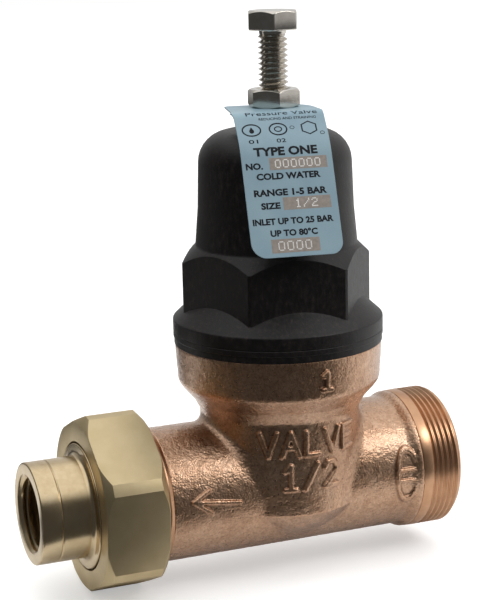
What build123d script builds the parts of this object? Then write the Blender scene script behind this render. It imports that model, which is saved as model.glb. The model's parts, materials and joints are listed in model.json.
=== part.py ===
from build123d import *

import os
from math import atan2, cos, degrees, radians, sin, sqrt

os.makedirs("parts", exist_ok=True)

# Pressure reducing valve with a single union. Lengths in mm, angles in degrees.
# Origin: centre of the inlet end face. +X points out of the inlet, +Z up the bonnet.

# ---- Driving dimensions ----
STEM_X = -47.1            # bonnet and stem axis
BODY_LEFT_X = -96.4       # union end face of the body casting
INLET_TUBE_R = 18.3
OUTLET_TUBE_R = 18.2
BARREL_R = 22.0
BARREL_DISH_R = 26.7      # spherical floor of the barrel
BARREL_DISH_Z = 10.6      # height of that sphere's centre
BARREL_EDGE_R = 4.0       # rounding between barrel and floor
CUP_R = 28.35
CUP_TOP_Z = 39.65
LEDGE_Z = 28.0            # seat of the diaphragm

INLET_CREST_R = 19.56     # union thread round the inlet
UNION_CREST_R = 19.3      # the same thread under the nut, at its lower limit so that the nut runs
UNION_PITCH = 1.5875      # 16 threads per inch
INLET_THREAD_LENGTH = 11.6
PIPE_R = 9.16             # 1/2-14 NPT: minor radius at the mouth, drawn straight and plain
PIPE_LENGTH = 13.0
SCREW_R = 3.96            # 5/16-18 UNC
SCREW_PITCH = 1.4111
FLANK_DEPTH = 0.6495      # thread depth for one unit of pitch, 60 degree flanks

CHAMBER_R = 19.0
CHAMBER_FLOOR_Z = 10.0
PARTITION_Z = 4.5
PARTITION_HOLE_R = 10.55
INLET_CHAMBER_R = 13.0
INLET_CHAMBER_Z = -10.0
WELL_R = 6.4              # pocket in the chamber floor round the seat barrel's foot
WELL_Z = -13.0
INLET_PORT_R = 7.5
OUTLET_PORT_R = 9.0
RISER_R = 5.5

BONNET_FLANGE_R = 28.7
BONNET_FLANGE_Z = 46.2
BONNET_HEX_R = 26.4
BONNET_HEX_TOP_Z = 61.9
BONNET_HEX_TURN = -9.6
BONNET_CONE_R = 22.0
BONNET_CONE_Z = 66.3
BONNET_DOME_R = 20.5
BONNET_DOME_Z = 88.4
BONNET_TOP_Z = 96.9
BOSS_R = 9.0
BOSS_TOP_Z = 102.7
BONNET_CREST_R = 24.5
BONNET_PITCH = 2.0
BONNET_DEPTH = 0.8        # depth of the bonnet thread
SKIRT_BOTTOM_Z = 30.9
SKIRT_BORE_R = 20.0
BONNET_BORE_R = 18.2
CAVITY_TOP_Z = 89.0

HEX_FLATS = 12.7          # half inch across flats
HEAD_BOTTOM_Z = 123.4
HEAD_TOP_Z = 128.5
SCREW_LENGTH = 44.45
NUT_HEIGHT = 4.8
HEAD_TURN = 7.6
LOCK_NUT_TURN = 18.3

TAG_THICKNESS = 0.4
TAG_LEFT = 14.4
TAG_RIGHT = 9.7
TAG_REAR = 5.5
TAG_BEND = 12.7
TAG_TURN = -8.4

UNION_NUT_FLATS = 44.6
UNION_NUT_CORNER_R = 24.87
UNION_NUT_LEFT_X = -105.4
UNION_NUT_RIGHT_X = -88.1
UNION_NUT_WALL = 4.0
UNION_NUT_TURN = 34.87
COLLAR_R = 16.9
HUB_R = 13.7
HUB_LEFT_X = -119.9

RUN = 0.06                # radial clearance of a running thread or guide
PRESS = 0.05              # radial clearance of a fixed fit
DIAPHRAGM_T = 1.6
PLATE_T = 2.0
STEM_R = 2.4
SPRING_WIRE_R = 1.6
SPRING_R = 11.5
SPRING_TURNS = 6.5
BUTTON_Z = 76.0           # underside of the spring button
SEAT_Z = 3.0
DISC_TOP_Z = 0.5

# ---- Working planes and helpers ----
STEM_AXIS = Axis((STEM_X, 0, 0), (0, 0, 1))
UPRIGHT = Plane(origin=(STEM_X, 0, 0), x_dir=(1, 0, 0), z_dir=(0, -1, 0))


def level(height):
    """A horizontal plane on the stem axis."""
    return Plane(origin=(STEM_X, 0, height), x_dir=(1, 0, 0), z_dir=(0, 0, 1))


def rings(first, last, crest, pitch, depth):
    """Outline of ring grooves at a thread's pitch: (along the axis, radius) points.

    The turns fill the length from first towards last, each root to crest to root.
    A negative depth cuts an internal thread, whose crests are its smallest radius.
    """
    step = pitch if last > first else -pitch
    root = crest - depth
    points = []
    for turn in range(int(abs(last - first) / pitch)):
        start = first + turn * step
        points.append((start + 0.0625 * step, root))
        points.append((start + 0.4375 * step, crest))
        points.append((start + 0.5625 * step, crest))
        points.append((start + 0.9375 * step, root))
    return points


def swapped(points):
    """The same outline as (radius, along the axis) points."""
    return [(radius, along) for along, radius in points]


def finish(part, name):
    """Label a finished piece and write its file."""
    part.label = name
    export_step(part, f"parts/{name}.step")


# ---- Valve body ----
union_depth = FLANK_DEPTH * UNION_PITCH
union_root_r = UNION_CREST_R - union_depth
inlet_root_r = INLET_CREST_R - union_depth
shoulder_r = 18.7
shoulder_left_x = BODY_LEFT_X + 7.4
shoulder_right_x = STEM_X - 38.5
collar_rise = 1.6         # run of the cone up to the inlet thread
body_outline = (
    [(BODY_LEFT_X, 0), (BODY_LEFT_X, union_root_r)]
    + rings(BODY_LEFT_X + 0.4, shoulder_left_x, UNION_CREST_R, UNION_PITCH, union_depth)
    + [(shoulder_left_x, shoulder_r), (shoulder_right_x, shoulder_r)]
    + [(shoulder_right_x, OUTLET_TUBE_R), (STEM_X, OUTLET_TUBE_R), (STEM_X, INLET_TUBE_R)]
    + [(-INLET_THREAD_LENGTH - collar_rise, INLET_TUBE_R), (-INLET_THREAD_LENGTH, inlet_root_r)]
    + rings(-INLET_THREAD_LENGTH, 0, INLET_CREST_R, UNION_PITCH, union_depth)
    + [(0, inlet_root_r), (0, 0)]
)
inlet_port_x = STEM_X + INLET_CHAMBER_R - 1.5
cup_bore_r = BONNET_CREST_R + 0.1
cavity = (
    [(0, WELL_Z), (WELL_R, WELL_Z), (WELL_R, INLET_CHAMBER_Z), (INLET_CHAMBER_R, INLET_CHAMBER_Z)]
    + [(INLET_CHAMBER_R, PARTITION_Z), (PARTITION_HOLE_R, PARTITION_Z)]
    + [(PARTITION_HOLE_R, CHAMBER_FLOOR_Z), (CHAMBER_R, CHAMBER_FLOOR_Z)]
    + [(CHAMBER_R, LEDGE_Z), (cup_bore_r, LEDGE_Z)]
    + swapped(rings(LEDGE_Z + 3, CUP_TOP_Z, BONNET_CREST_R - 0.6, BONNET_PITCH, -BONNET_DEPTH))
    + [(cup_bore_r, CUP_TOP_Z + 1), (0, CUP_TOP_Z + 1)]
)
# The riser leads from the outlet port up into the outlet chamber at 45 degrees.
riser = Plane(origin=(STEM_X - 27, 0, 3), x_dir=(0, 1, 0), z_dir=(1, 0, 1))
riser_length = 11.3
# The barrel stands on a spherical floor, rounded where the two meet.
edge_middle_r = BARREL_R - BARREL_EDGE_R
edge_middle_z = BARREL_DISH_Z - sqrt((BARREL_DISH_R - BARREL_EDGE_R) ** 2 - edge_middle_r ** 2)
dish_angle = degrees(atan2(edge_middle_r, BARREL_DISH_Z - edge_middle_z))
neck = [(BARREL_R, 20), (22.9, 22.5), (24.1, 24.7), (26.8, 27.9), (27.8, 29.8)]

with BuildPart() as valve_body:
    with BuildSketch(Plane.XZ):
        with BuildLine():
            Polyline(body_outline, close=True)
        make_face()
    revolve(axis=Axis.X)
    with BuildSketch(UPRIGHT):
        with BuildLine():
            dish = CenterArc((0, BARREL_DISH_Z), BARREL_DISH_R, -90, dish_angle)
            edge = CenterArc((edge_middle_r, edge_middle_z), BARREL_EDGE_R, dish_angle - 90, 90 - dish_angle)
            Polyline([edge @ 1] + neck + [(CUP_R, CUP_TOP_Z), (0, CUP_TOP_Z), dish @ 0])
        make_face()
    revolve(axis=STEM_AXIS)
    with BuildSketch(UPRIGHT):
        with BuildLine():
            Polyline(cavity, close=True)
        make_face()
    revolve(axis=STEM_AXIS, mode=Mode.SUBTRACT)
    with BuildSketch(Plane.YZ):
        Circle(PIPE_R)
    extrude(amount=-PIPE_LENGTH, mode=Mode.SUBTRACT)
    with BuildSketch(Plane.YZ.offset(inlet_port_x)):
        Circle(INLET_PORT_R)
    extrude(amount=-inlet_port_x, mode=Mode.SUBTRACT)
    with BuildSketch(Plane(origin=(BODY_LEFT_X, 0, 0), x_dir=(0, 1, 0), z_dir=(1, 0, 0))):
        Circle(OUTLET_PORT_R)
    extrude(amount=STEM_X - 24 - BODY_LEFT_X, mode=Mode.SUBTRACT)
    with BuildSketch(riser):
        Circle(RISER_R)
    extrude(amount=riser_length, mode=Mode.SUBTRACT)
finish(valve_body.part, "valve_body")

# ---- Bonnet ----
insert_shank_flats = 11.6
insert_flange_z = CAVITY_TOP_Z - 1.5
bonnet_hex_z = 44.0       # the hexagon runs down into the flange
cone_start_r = 27.0       # the chamfer cone, outside the hexagon's corners
cone_start_z = BONNET_HEX_TOP_Z - 0.6
slope_top = (22.4, 52.0)  # where the flange's slope runs into the hexagon
lip_r = BONNET_FLANGE_R - 0.25
lip_z = 41.2
shoulder = (21.1, 76.4)   # bend between the two tapers of the tower
dome_corner_r = 8.4
bore_low_z = 45.0
bore_high_z = 49.0
vault_z = 82.0
vault_r = 17.6
vault_corner_r = CAVITY_TOP_Z - vault_z - 0.2
skirt_thread = swapped(
    rings(LEDGE_Z + 4, CUP_TOP_Z - 1, BONNET_CREST_R, BONNET_PITCH, BONNET_DEPTH)
)
with BuildPart() as bonnet:
    with BuildSketch(level(bonnet_hex_z)):
        RegularPolygon(BONNET_HEX_R, 6, rotation=BONNET_HEX_TURN)
    extrude(amount=BONNET_CONE_Z - bonnet_hex_z)
    with BuildSketch(UPRIGHT):
        with BuildLine():
            Polyline((0, bonnet_hex_z), (cone_start_r, bonnet_hex_z), (cone_start_r, cone_start_z),
                     (BONNET_CONE_R, BONNET_CONE_Z), (0, BONNET_CONE_Z), close=True)
        make_face()
    revolve(axis=STEM_AXIS, mode=Mode.INTERSECT)
    with BuildSketch(UPRIGHT):
        with BuildLine():
            skirt = Polyline([(0, SKIRT_BOTTOM_Z), (BONNET_CREST_R - BONNET_DEPTH, SKIRT_BOTTOM_Z)]
                             + skirt_thread + [(BONNET_CREST_R - BONNET_DEPTH, CUP_TOP_Z)])
            Polyline(skirt @ 1, (lip_r, CUP_TOP_Z), (lip_r, lip_z), (BONNET_FLANGE_R, lip_z + 0.2),
                     (BONNET_FLANGE_R, BONNET_FLANGE_Z), slope_top, (0, slope_top[1]), skirt @ 0)
        make_face()
    revolve(axis=STEM_AXIS)
    with BuildSketch(UPRIGHT):
        with BuildLine():
            tower = Polyline((0, cone_start_z), (BONNET_CONE_R, cone_start_z),
                             (BONNET_CONE_R, BONNET_CONE_Z - 0.1), shoulder, (BONNET_DOME_R, BONNET_DOME_Z))
            dome = JernArc(tower @ 1, (-0.02, 1), dome_corner_r, 88)
            Polyline(dome @ 1, (BOSS_R, BONNET_TOP_Z), (BOSS_R, BOSS_TOP_Z), (0, BOSS_TOP_Z), tower @ 0)
        make_face()
    revolve(axis=STEM_AXIS)
    with BuildSketch(UPRIGHT):
        with BuildLine():
            hollow = Polyline((0, SKIRT_BOTTOM_Z - 1), (SKIRT_BORE_R, SKIRT_BOTTOM_Z - 1),
                              (SKIRT_BORE_R, bore_low_z), (BONNET_BORE_R, bore_high_z), (vault_r, vault_z))
            vault = JernArc(hollow @ 1, (-0.02, 1), vault_corner_r, 88)
            Polyline(vault @ 1, (0, (vault @ 1).Y), hollow @ 0)
        make_face()
    revolve(axis=STEM_AXIS, mode=Mode.SUBTRACT)
    with BuildSketch(level(insert_flange_z)):
        RegularPolygon(insert_shank_flats / 2 + PRESS, 6, major_radius=False)
    extrude(amount=BOSS_TOP_Z - insert_flange_z + 1, mode=Mode.SUBTRACT)
finish(bonnet.part, "bonnet")

# ---- Screw insert ----
with BuildPart() as screw_insert:
    with BuildSketch(level(CAVITY_TOP_Z - 2.4)):
        Circle(8.5)
    extrude(amount=2)
    with BuildSketch(level(CAVITY_TOP_Z - 0.4)):
        RegularPolygon(insert_shank_flats / 2, 6, major_radius=False)
    extrude(amount=BOSS_TOP_Z - CAVITY_TOP_Z)
    with BuildSketch(level(CAVITY_TOP_Z - 3)):
        Circle(SCREW_R + RUN)
    extrude(amount=BOSS_TOP_Z - CAVITY_TOP_Z + 4, mode=Mode.SUBTRACT)
finish(screw_insert.part, "screw_insert")

# ---- Adjusting screw ----
screw_tip_z = HEAD_BOTTOM_Z - SCREW_LENGTH
screw_depth = FLANK_DEPTH * SCREW_PITCH
screw_root_r = SCREW_R - screw_depth
point_r = 2.9
point_length = 2.0
neck_r = 3.6
neck_z = HEAD_BOTTOM_Z - 1.6
outside_r = 8.0           # clear of a hexagon's corners
face_r = HEX_FLATS / 2 - 0.2
head_corner_z = HEAD_TOP_Z - 1.1
screw_outline = (
    [(0, screw_tip_z), (point_r - 0.6, screw_tip_z), (point_r, screw_tip_z + 0.6)]
    + [(point_r, screw_tip_z + point_length)]
    + swapped(rings(screw_tip_z + point_length, neck_z, SCREW_R, SCREW_PITCH, screw_depth))
    + [(screw_root_r, neck_z), (neck_r, neck_z), (neck_r, HEAD_BOTTOM_Z), (0, HEAD_BOTTOM_Z)]
)
with BuildPart() as adjusting_screw:
    with BuildSketch(level(HEAD_BOTTOM_Z)):
        RegularPolygon(HEX_FLATS / 2, 6, major_radius=False, rotation=HEAD_TURN)
    extrude(amount=HEAD_TOP_Z - HEAD_BOTTOM_Z)
    with BuildSketch(UPRIGHT):
        with BuildLine():
            Polyline((0, HEAD_BOTTOM_Z), (outside_r, HEAD_BOTTOM_Z), (outside_r, head_corner_z),
                     (face_r, HEAD_TOP_Z), (0, HEAD_TOP_Z), close=True)
        make_face()
    revolve(axis=STEM_AXIS, mode=Mode.INTERSECT)
    with BuildSketch(UPRIGHT):
        with BuildLine():
            Polyline(screw_outline, close=True)
        make_face()
    revolve(axis=STEM_AXIS)
finish(adjusting_screw.part, "adjusting_screw")

# ---- Lock nut ----
lock_nut_z = BOSS_TOP_Z + TAG_THICKNESS
lock_nut_top_z = lock_nut_z + NUT_HEIGHT
lock_bore_r = SCREW_R + RUN
mouth = 0.64              # chamfer at each end of the bore
with BuildPart() as lock_nut:
    with BuildSketch(level(lock_nut_z)):
        RegularPolygon(HEX_FLATS / 2, 6, major_radius=False, rotation=LOCK_NUT_TURN)
    extrude(amount=NUT_HEIGHT)
    with BuildSketch(UPRIGHT):
        with BuildLine():
            Polyline((lock_bore_r, lock_nut_z + mouth), (lock_bore_r + mouth, lock_nut_z),
                     (face_r, lock_nut_z), (outside_r, lock_nut_z + 1), (outside_r, lock_nut_top_z - 1),
                     (face_r, lock_nut_top_z), (lock_bore_r + mouth, lock_nut_top_z),
                     (lock_bore_r, lock_nut_top_z - mouth), close=True)
        make_face()
    revolve(axis=STEM_AXIS, mode=Mode.INTERSECT)
finish(lock_nut.part, "lock_nut")

# ---- Rating tag ----
# The plate lies on the boss, bends over the dome's shoulder and leans out in front of the cone.
tag_out = (sin(radians(TAG_TURN)), -cos(radians(TAG_TURN)), 0)
tag_aside = (-cos(radians(TAG_TURN)), -sin(radians(TAG_TURN)), 0)
tag_side = Plane(origin=(STEM_X, 0, 0), x_dir=tag_out, z_dir=tag_aside)
tag_mid_z = BOSS_TOP_Z + TAG_THICKNESS / 2
tag_knee = (18.9, 95.3)
tag_foot = (30.1, 68.1)
tag_hole_r = SCREW_R + 0.4
with BuildPart() as rating_tag:
    with BuildSketch(tag_side.offset(-TAG_RIGHT)):
        with BuildLine():
            FilletPolyline((-TAG_REAR, tag_mid_z), (TAG_BEND, tag_mid_z), tag_knee, tag_foot,
                           radius=(3, 20))
        trace(line_width=TAG_THICKNESS)
    extrude(amount=TAG_RIGHT + TAG_LEFT)
    fillet(rating_tag.edges().filter_by(Axis.Z), 3)
    foot_edges = rating_tag.edges().filter_by(lambda e: e.length < 2 * TAG_THICKNESS)
    fillet(foot_edges.group_by(Axis.Z)[0], 5)
    with BuildSketch(level(BOSS_TOP_Z - 1)):
        Circle(tag_hole_r)
    extrude(amount=3, mode=Mode.SUBTRACT)
finish(rating_tag.part, "rating_tag")

# ---- Spring button ----
pilot_r = 9.4             # stub inside the spring's top turn
pilot_z = BUTTON_Z - 2.5
button_r = 13.4
button_top_z = BUTTON_Z + 2.2
crown_r = 6.0             # raised middle with a dimple for the screw's point
crown_z = BUTTON_Z + 4.4
dimple_r = 3.4
with BuildPart() as spring_button:
    with BuildSketch(UPRIGHT):
        with BuildLine():
            Polyline((0, pilot_z), (pilot_r - 1, pilot_z), (pilot_r, pilot_z + 1), (pilot_r, BUTTON_Z),
                     (button_r, BUTTON_Z), (button_r, button_top_z), (crown_r + 1, button_top_z),
                     (crown_r, crown_z), (dimple_r + 0.2, crown_z), (dimple_r, screw_tip_z),
                     (0, screw_tip_z), close=True)
        make_face()
    revolve(axis=STEM_AXIS)
finish(spring_button.part, "spring_button")

# ---- Adjusting spring ----
plate_top_z = LEDGE_Z + DIAPHRAGM_T + PLATE_T
spring_low_z = plate_top_z + SPRING_WIRE_R
spring_rise = BUTTON_Z - SPRING_WIRE_R - spring_low_z
with BuildPart() as adjusting_spring:
    with BuildLine(level(spring_low_z)):
        coil = Helix(spring_rise / SPRING_TURNS, spring_rise, SPRING_R)
    with BuildSketch(Plane(origin=coil @ 0, x_dir=(0, 0, 1), z_dir=coil % 0)):
        Circle(SPRING_WIRE_R - 0.02)
    sweep(path=coil, is_frenet=True)
finish(adjusting_spring.part, "adjusting_spring")

# ---- Spring plate ----
stack_bore_r = STEM_R + 0.03   # hole in each disc of the stack on the stem
plate_r = 14.4
plate_lip_r = 13.5        # inside of the lip round the spring's foot
plate_low_z = plate_top_z - PLATE_T
plate_lip_z = plate_top_z + 1.6
with BuildPart() as spring_plate:
    with BuildSketch(UPRIGHT):
        with BuildLine():
            Polyline((stack_bore_r, plate_low_z), (plate_r - 1.4, plate_low_z), (plate_r, plate_low_z + 1),
                     (plate_r, plate_lip_z), (plate_lip_r, plate_lip_z), (plate_lip_r, plate_top_z),
                     (stack_bore_r, plate_top_z), close=True)
        make_face()
    revolve(axis=STEM_AXIS)
finish(spring_plate.part, "spring_plate")

# ---- Diaphragm nut ----
stem_nut_flats = 11.0
stem_nut_height = 4.0
with BuildPart() as diaphragm_nut:
    with BuildSketch(level(plate_top_z)):
        RegularPolygon(stem_nut_flats / 2, 6, major_radius=False)
        Circle(stack_bore_r, mode=Mode.SUBTRACT)
    extrude(amount=stem_nut_height)
    chamfer(diaphragm_nut.edges().group_by(Axis.Z)[-1].filter_by(GeomType.LINE), 0.4)
finish(diaphragm_nut.part, "diaphragm_nut")

# ---- Diaphragm, its lower washer and the slip ring ----
washer_r = 10.0
washer_t = 2.0
slip_ring_hole_r = 19.4
with BuildPart() as diaphragm:
    with BuildSketch(level(LEDGE_Z)):
        Circle(BONNET_CREST_R - 0.7)
        Circle(stack_bore_r, mode=Mode.SUBTRACT)
    extrude(amount=DIAPHRAGM_T)
finish(diaphragm.part, "diaphragm")

with BuildPart() as diaphragm_washer:
    with BuildSketch(level(LEDGE_Z - washer_t)):
        Circle(washer_r)
        Circle(stack_bore_r, mode=Mode.SUBTRACT)
    extrude(amount=washer_t)
    fillet(diaphragm_washer.edges().group_by(Axis.Z)[0].sort_by(SortBy.RADIUS)[-1], 0.8)
finish(diaphragm_washer.part, "diaphragm_washer")

with BuildPart() as slip_ring:
    with BuildSketch(level(LEDGE_Z + DIAPHRAGM_T)):
        Circle(BONNET_CREST_R - 0.75)
        Circle(slip_ring_hole_r, mode=Mode.SUBTRACT)
    extrude(amount=SKIRT_BOTTOM_Z - LEDGE_Z - DIAPHRAGM_T)
finish(slip_ring.part, "slip_ring")

# ---- Stem ----
holder_floor_z = DISC_TOP_Z - 2.5
stem_foot_z = holder_floor_z - 4
stem_foot_r = 2.0         # foot through the disc, into its holder
stem_flange_r = 4.2       # flange on top of the disc
stem_neck_r = 2.6
stem_shoulder_r = 5.0     # shoulder under the washer
stem_shoulder_z = LEDGE_Z - washer_t
stem_top_z = 37.1
with BuildPart() as stem:
    with BuildSketch(UPRIGHT):
        with BuildLine():
            Polyline((0, stem_foot_z), (stem_foot_r - 0.4, stem_foot_z), (stem_foot_r, stem_foot_z + 0.4),
                     (stem_foot_r, DISC_TOP_Z), (stem_flange_r, DISC_TOP_Z), (stem_flange_r, DISC_TOP_Z + 1),
                     (stem_neck_r, DISC_TOP_Z + 2), (stem_neck_r, stem_shoulder_z - 2),
                     (stem_shoulder_r, stem_shoulder_z - 1.2), (stem_shoulder_r, stem_shoulder_z),
                     (STEM_R, stem_shoulder_z), (STEM_R, stem_top_z - 0.6), (STEM_R - 0.6, stem_top_z),
                     (0, stem_top_z), close=True)
        make_face()
    revolve(axis=STEM_AXIS)
finish(stem.part, "stem")

# ---- Seat disc and its holder with the balancing piston ----
disc_r = 7.2
disc_hole_r = stem_foot_r + 0.03
with BuildPart() as seat_disc:
    with BuildSketch(level(holder_floor_z)):
        Circle(disc_r)
        Circle(disc_hole_r, mode=Mode.SUBTRACT)
    extrude(amount=DISC_TOP_Z - holder_floor_z)
finish(seat_disc.part, "seat_disc")

piston_r = 4.0
holder_r = 7.9
holder_cup_r = disc_r + 0.05
holder_rim_z = DISC_TOP_Z - 0.9
holder_low_z = holder_floor_z - 3
socket_z = stem_foot_z - 0.2
ring_z = holder_floor_z - 6.3
ring_half = 0.8           # half the width of the piston ring's groove
ring_floor_r = 2.6
piston_low_z = ring_z - 3.2
with BuildPart() as disc_holder:
    with BuildSketch(UPRIGHT):
        with BuildLine():
            Polyline((disc_hole_r, holder_floor_z), (holder_cup_r, holder_floor_z),
                     (holder_cup_r, holder_rim_z), (holder_r, holder_rim_z),
                     (holder_r, holder_low_z + 1.4), (holder_r - 1.5, holder_low_z),
                     (piston_r, holder_low_z), (piston_r, ring_z + ring_half),
                     (ring_floor_r, ring_z + ring_half), (ring_floor_r, ring_z - ring_half),
                     (piston_r, ring_z - ring_half), (piston_r, piston_low_z + 0.4),
                     (piston_r - 0.4, piston_low_z), (0, piston_low_z), (0, socket_z),
                     (disc_hole_r, socket_z), close=True)
        make_face()
    revolve(axis=STEM_AXIS)
finish(disc_holder.part, "disc_holder")


def o_ring(inner_r, outer_r, height):
    """A squeezed O-ring on the stem axis: a ring of round section."""
    section_r = (outer_r - inner_r) / 2
    return Torus(inner_r + section_r, section_r).moved(Location((STEM_X, 0, height)))


piston_oring = o_ring(ring_floor_r + 0.02, piston_r + 0.03, ring_z)
finish(piston_oring, "piston_oring")

# ---- Seat barrel ----
barrel_r = 10.45
groove_r = 8.95
cage_bottom_z = INLET_CHAMBER_Z + 0.1
foot_r = WELL_R - 0.1
foot_z = WELL_Z + 0.1
piston_bore_r = piston_r + RUN
guide_top_z = -5.6
flange_r = 13.0           # flange on the partition's floor, with the mouth of the seat
flange_z = CHAMBER_FLOOR_Z + 2.5
mouth_r = 7.7
seat_bore_r = 5.2
seat_lip_r = 6.0
cage_bore_r = 8.6
cage_top_z = SEAT_Z + 1
groove_z = (5.75, 8.35)
groove_half = 0.85
shank = []
for middle in groove_z:
    shank.append((barrel_r, middle - groove_half))
    shank.append((groove_r, middle - groove_half))
    shank.append((groove_r, middle + groove_half))
    shank.append((barrel_r, middle + groove_half))
with BuildPart() as seat_barrel:
    with BuildSketch(UPRIGHT):
        with BuildLine():
            Polyline([(0, foot_z), (foot_r - 0.4, foot_z), (foot_r, foot_z + 0.4), (foot_r, cage_bottom_z)]
                     + [(barrel_r - 0.5, cage_bottom_z), (barrel_r, cage_bottom_z + 0.5)]
                     + shank + [(barrel_r, CHAMBER_FLOOR_Z), (flange_r, CHAMBER_FLOOR_Z)]
                     + [(flange_r, flange_z - 0.5), (flange_r - 0.5, flange_z), (mouth_r, flange_z)]
                     + [(seat_bore_r, flange_z - 3.5), (seat_bore_r, SEAT_Z), (seat_lip_r, SEAT_Z)]
                     + [(seat_lip_r + 0.4, cage_top_z), (cage_bore_r, cage_top_z)]
                     + [(cage_bore_r, guide_top_z), (piston_bore_r, guide_top_z)]
                     + [(piston_bore_r, foot_z + 0.8), (0, foot_z + 0.8)], close=True)
        make_face()
    revolve(axis=STEM_AXIS)
    with BuildSketch(level(guide_top_z + 1.4)):
        with PolarLocations(9, 4, start_angle=45):
            Rectangle(6, 8.5)
    extrude(amount=6.6, mode=Mode.SUBTRACT)
finish(seat_barrel.part, "seat_barrel")

for name, middle in zip(("barrel_oring_lower", "barrel_oring_upper"), groove_z):
    finish(o_ring(groove_r + 0.03, PARTITION_HOLE_R - 0.03, middle), name)

# ---- Strainer screen ----
screen_height = PARTITION_Z - INLET_CHAMBER_Z - 0.2
screen_r = 11.4
screen_t = 0.4
hole_pitch = 3.6          # between the rows of holes
hole_r = 1.1
holes = 16                # in each row
with BuildPart() as strainer_screen:
    with BuildSketch(level(INLET_CHAMBER_Z + 0.1)):
        Circle(screen_r)
        Circle(screen_r - screen_t, mode=Mode.SUBTRACT)
    extrude(amount=screen_height)
    for row in range(3):
        with Locations(level(INLET_CHAMBER_Z + hole_pitch * (row + 1))):
            with PolarLocations(screen_r, holes, start_angle=180 / holes * (row % 2)):
                Cylinder(hole_r, 10 * screen_t, rotation=(0, 90, 0), mode=Mode.SUBTRACT)
finish(strainer_screen.part, "strainer_screen")

# ---- Union nut ----
nut_face_r = 22.7
nut_run = 2.0
nut_hole_r = COLLAR_R + 0.4
nut_mouth = 0.8
with BuildPart() as union_nut:
    with BuildSketch(Plane(origin=(UNION_NUT_LEFT_X, 0, 0), x_dir=(0, 1, 0), z_dir=(1, 0, 0))):
        RegularPolygon(UNION_NUT_FLATS / 2, 6, major_radius=False, rotation=UNION_NUT_TURN)
    extrude(amount=UNION_NUT_RIGHT_X - UNION_NUT_LEFT_X)
    inside_x = UNION_NUT_LEFT_X + UNION_NUT_WALL
    bore_r = UNION_CREST_R + RUN
    with BuildSketch(Plane.XZ):
        with BuildLine():
            Polyline((UNION_NUT_LEFT_X, nut_hole_r), (UNION_NUT_LEFT_X, nut_face_r),
                     (UNION_NUT_LEFT_X + nut_run, UNION_NUT_CORNER_R),
                     (UNION_NUT_RIGHT_X - nut_run, UNION_NUT_CORNER_R), (UNION_NUT_RIGHT_X, nut_face_r),
                     (UNION_NUT_RIGHT_X, bore_r + nut_mouth), (UNION_NUT_RIGHT_X - nut_mouth, bore_r),
                     (inside_x, bore_r), (inside_x, nut_hole_r), close=True)
        make_face()
    revolve(axis=Axis.X, mode=Mode.INTERSECT)
finish(union_nut.part, "union_nut")

# ---- Union tailpiece and gasket ----
flange_r = UNION_CREST_R - 0.2
gasket_t = 2.0
tail_right_x = BODY_LEFT_X - gasket_t
tail_bore_r = 8.4
hub_edge = 0.4            # chamfer at the hub's mouth
hub_flare = 0.9           # cone between hub and collar
tail_flange_x = inside_x + 0.1
pipe_end_x = HUB_LEFT_X + PIPE_LENGTH
with BuildPart() as union_tailpiece:
    with BuildSketch(Plane.XZ):
        with BuildLine():
            Polyline((HUB_LEFT_X, PIPE_R), (HUB_LEFT_X, HUB_R - hub_edge), (HUB_LEFT_X + hub_edge, HUB_R),
                     (UNION_NUT_LEFT_X - hub_flare, HUB_R), (UNION_NUT_LEFT_X, HUB_R + hub_flare),
                     (UNION_NUT_LEFT_X, COLLAR_R), (tail_flange_x, COLLAR_R), (tail_flange_x, flange_r),
                     (tail_right_x, flange_r), (tail_right_x, tail_bore_r), (pipe_end_x, tail_bore_r),
                     (pipe_end_x, PIPE_R), close=True)
        make_face()
    revolve(axis=Axis.X)
finish(union_tailpiece.part, "union_tailpiece")

with BuildPart() as union_gasket:
    with BuildSketch(Plane(origin=(tail_right_x, 0, 0), x_dir=(0, 1, 0), z_dir=(1, 0, 0))):
        Circle(UNION_CREST_R - 0.7)
        Circle(OUTLET_PORT_R + 1, mode=Mode.SUBTRACT)
    extrude(amount=gasket_t)
finish(union_gasket.part, "union_gasket")
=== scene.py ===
import json
import math

import bmesh
import bpy
import numpy as np
from mathutils import Matrix, Vector, noise


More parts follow.
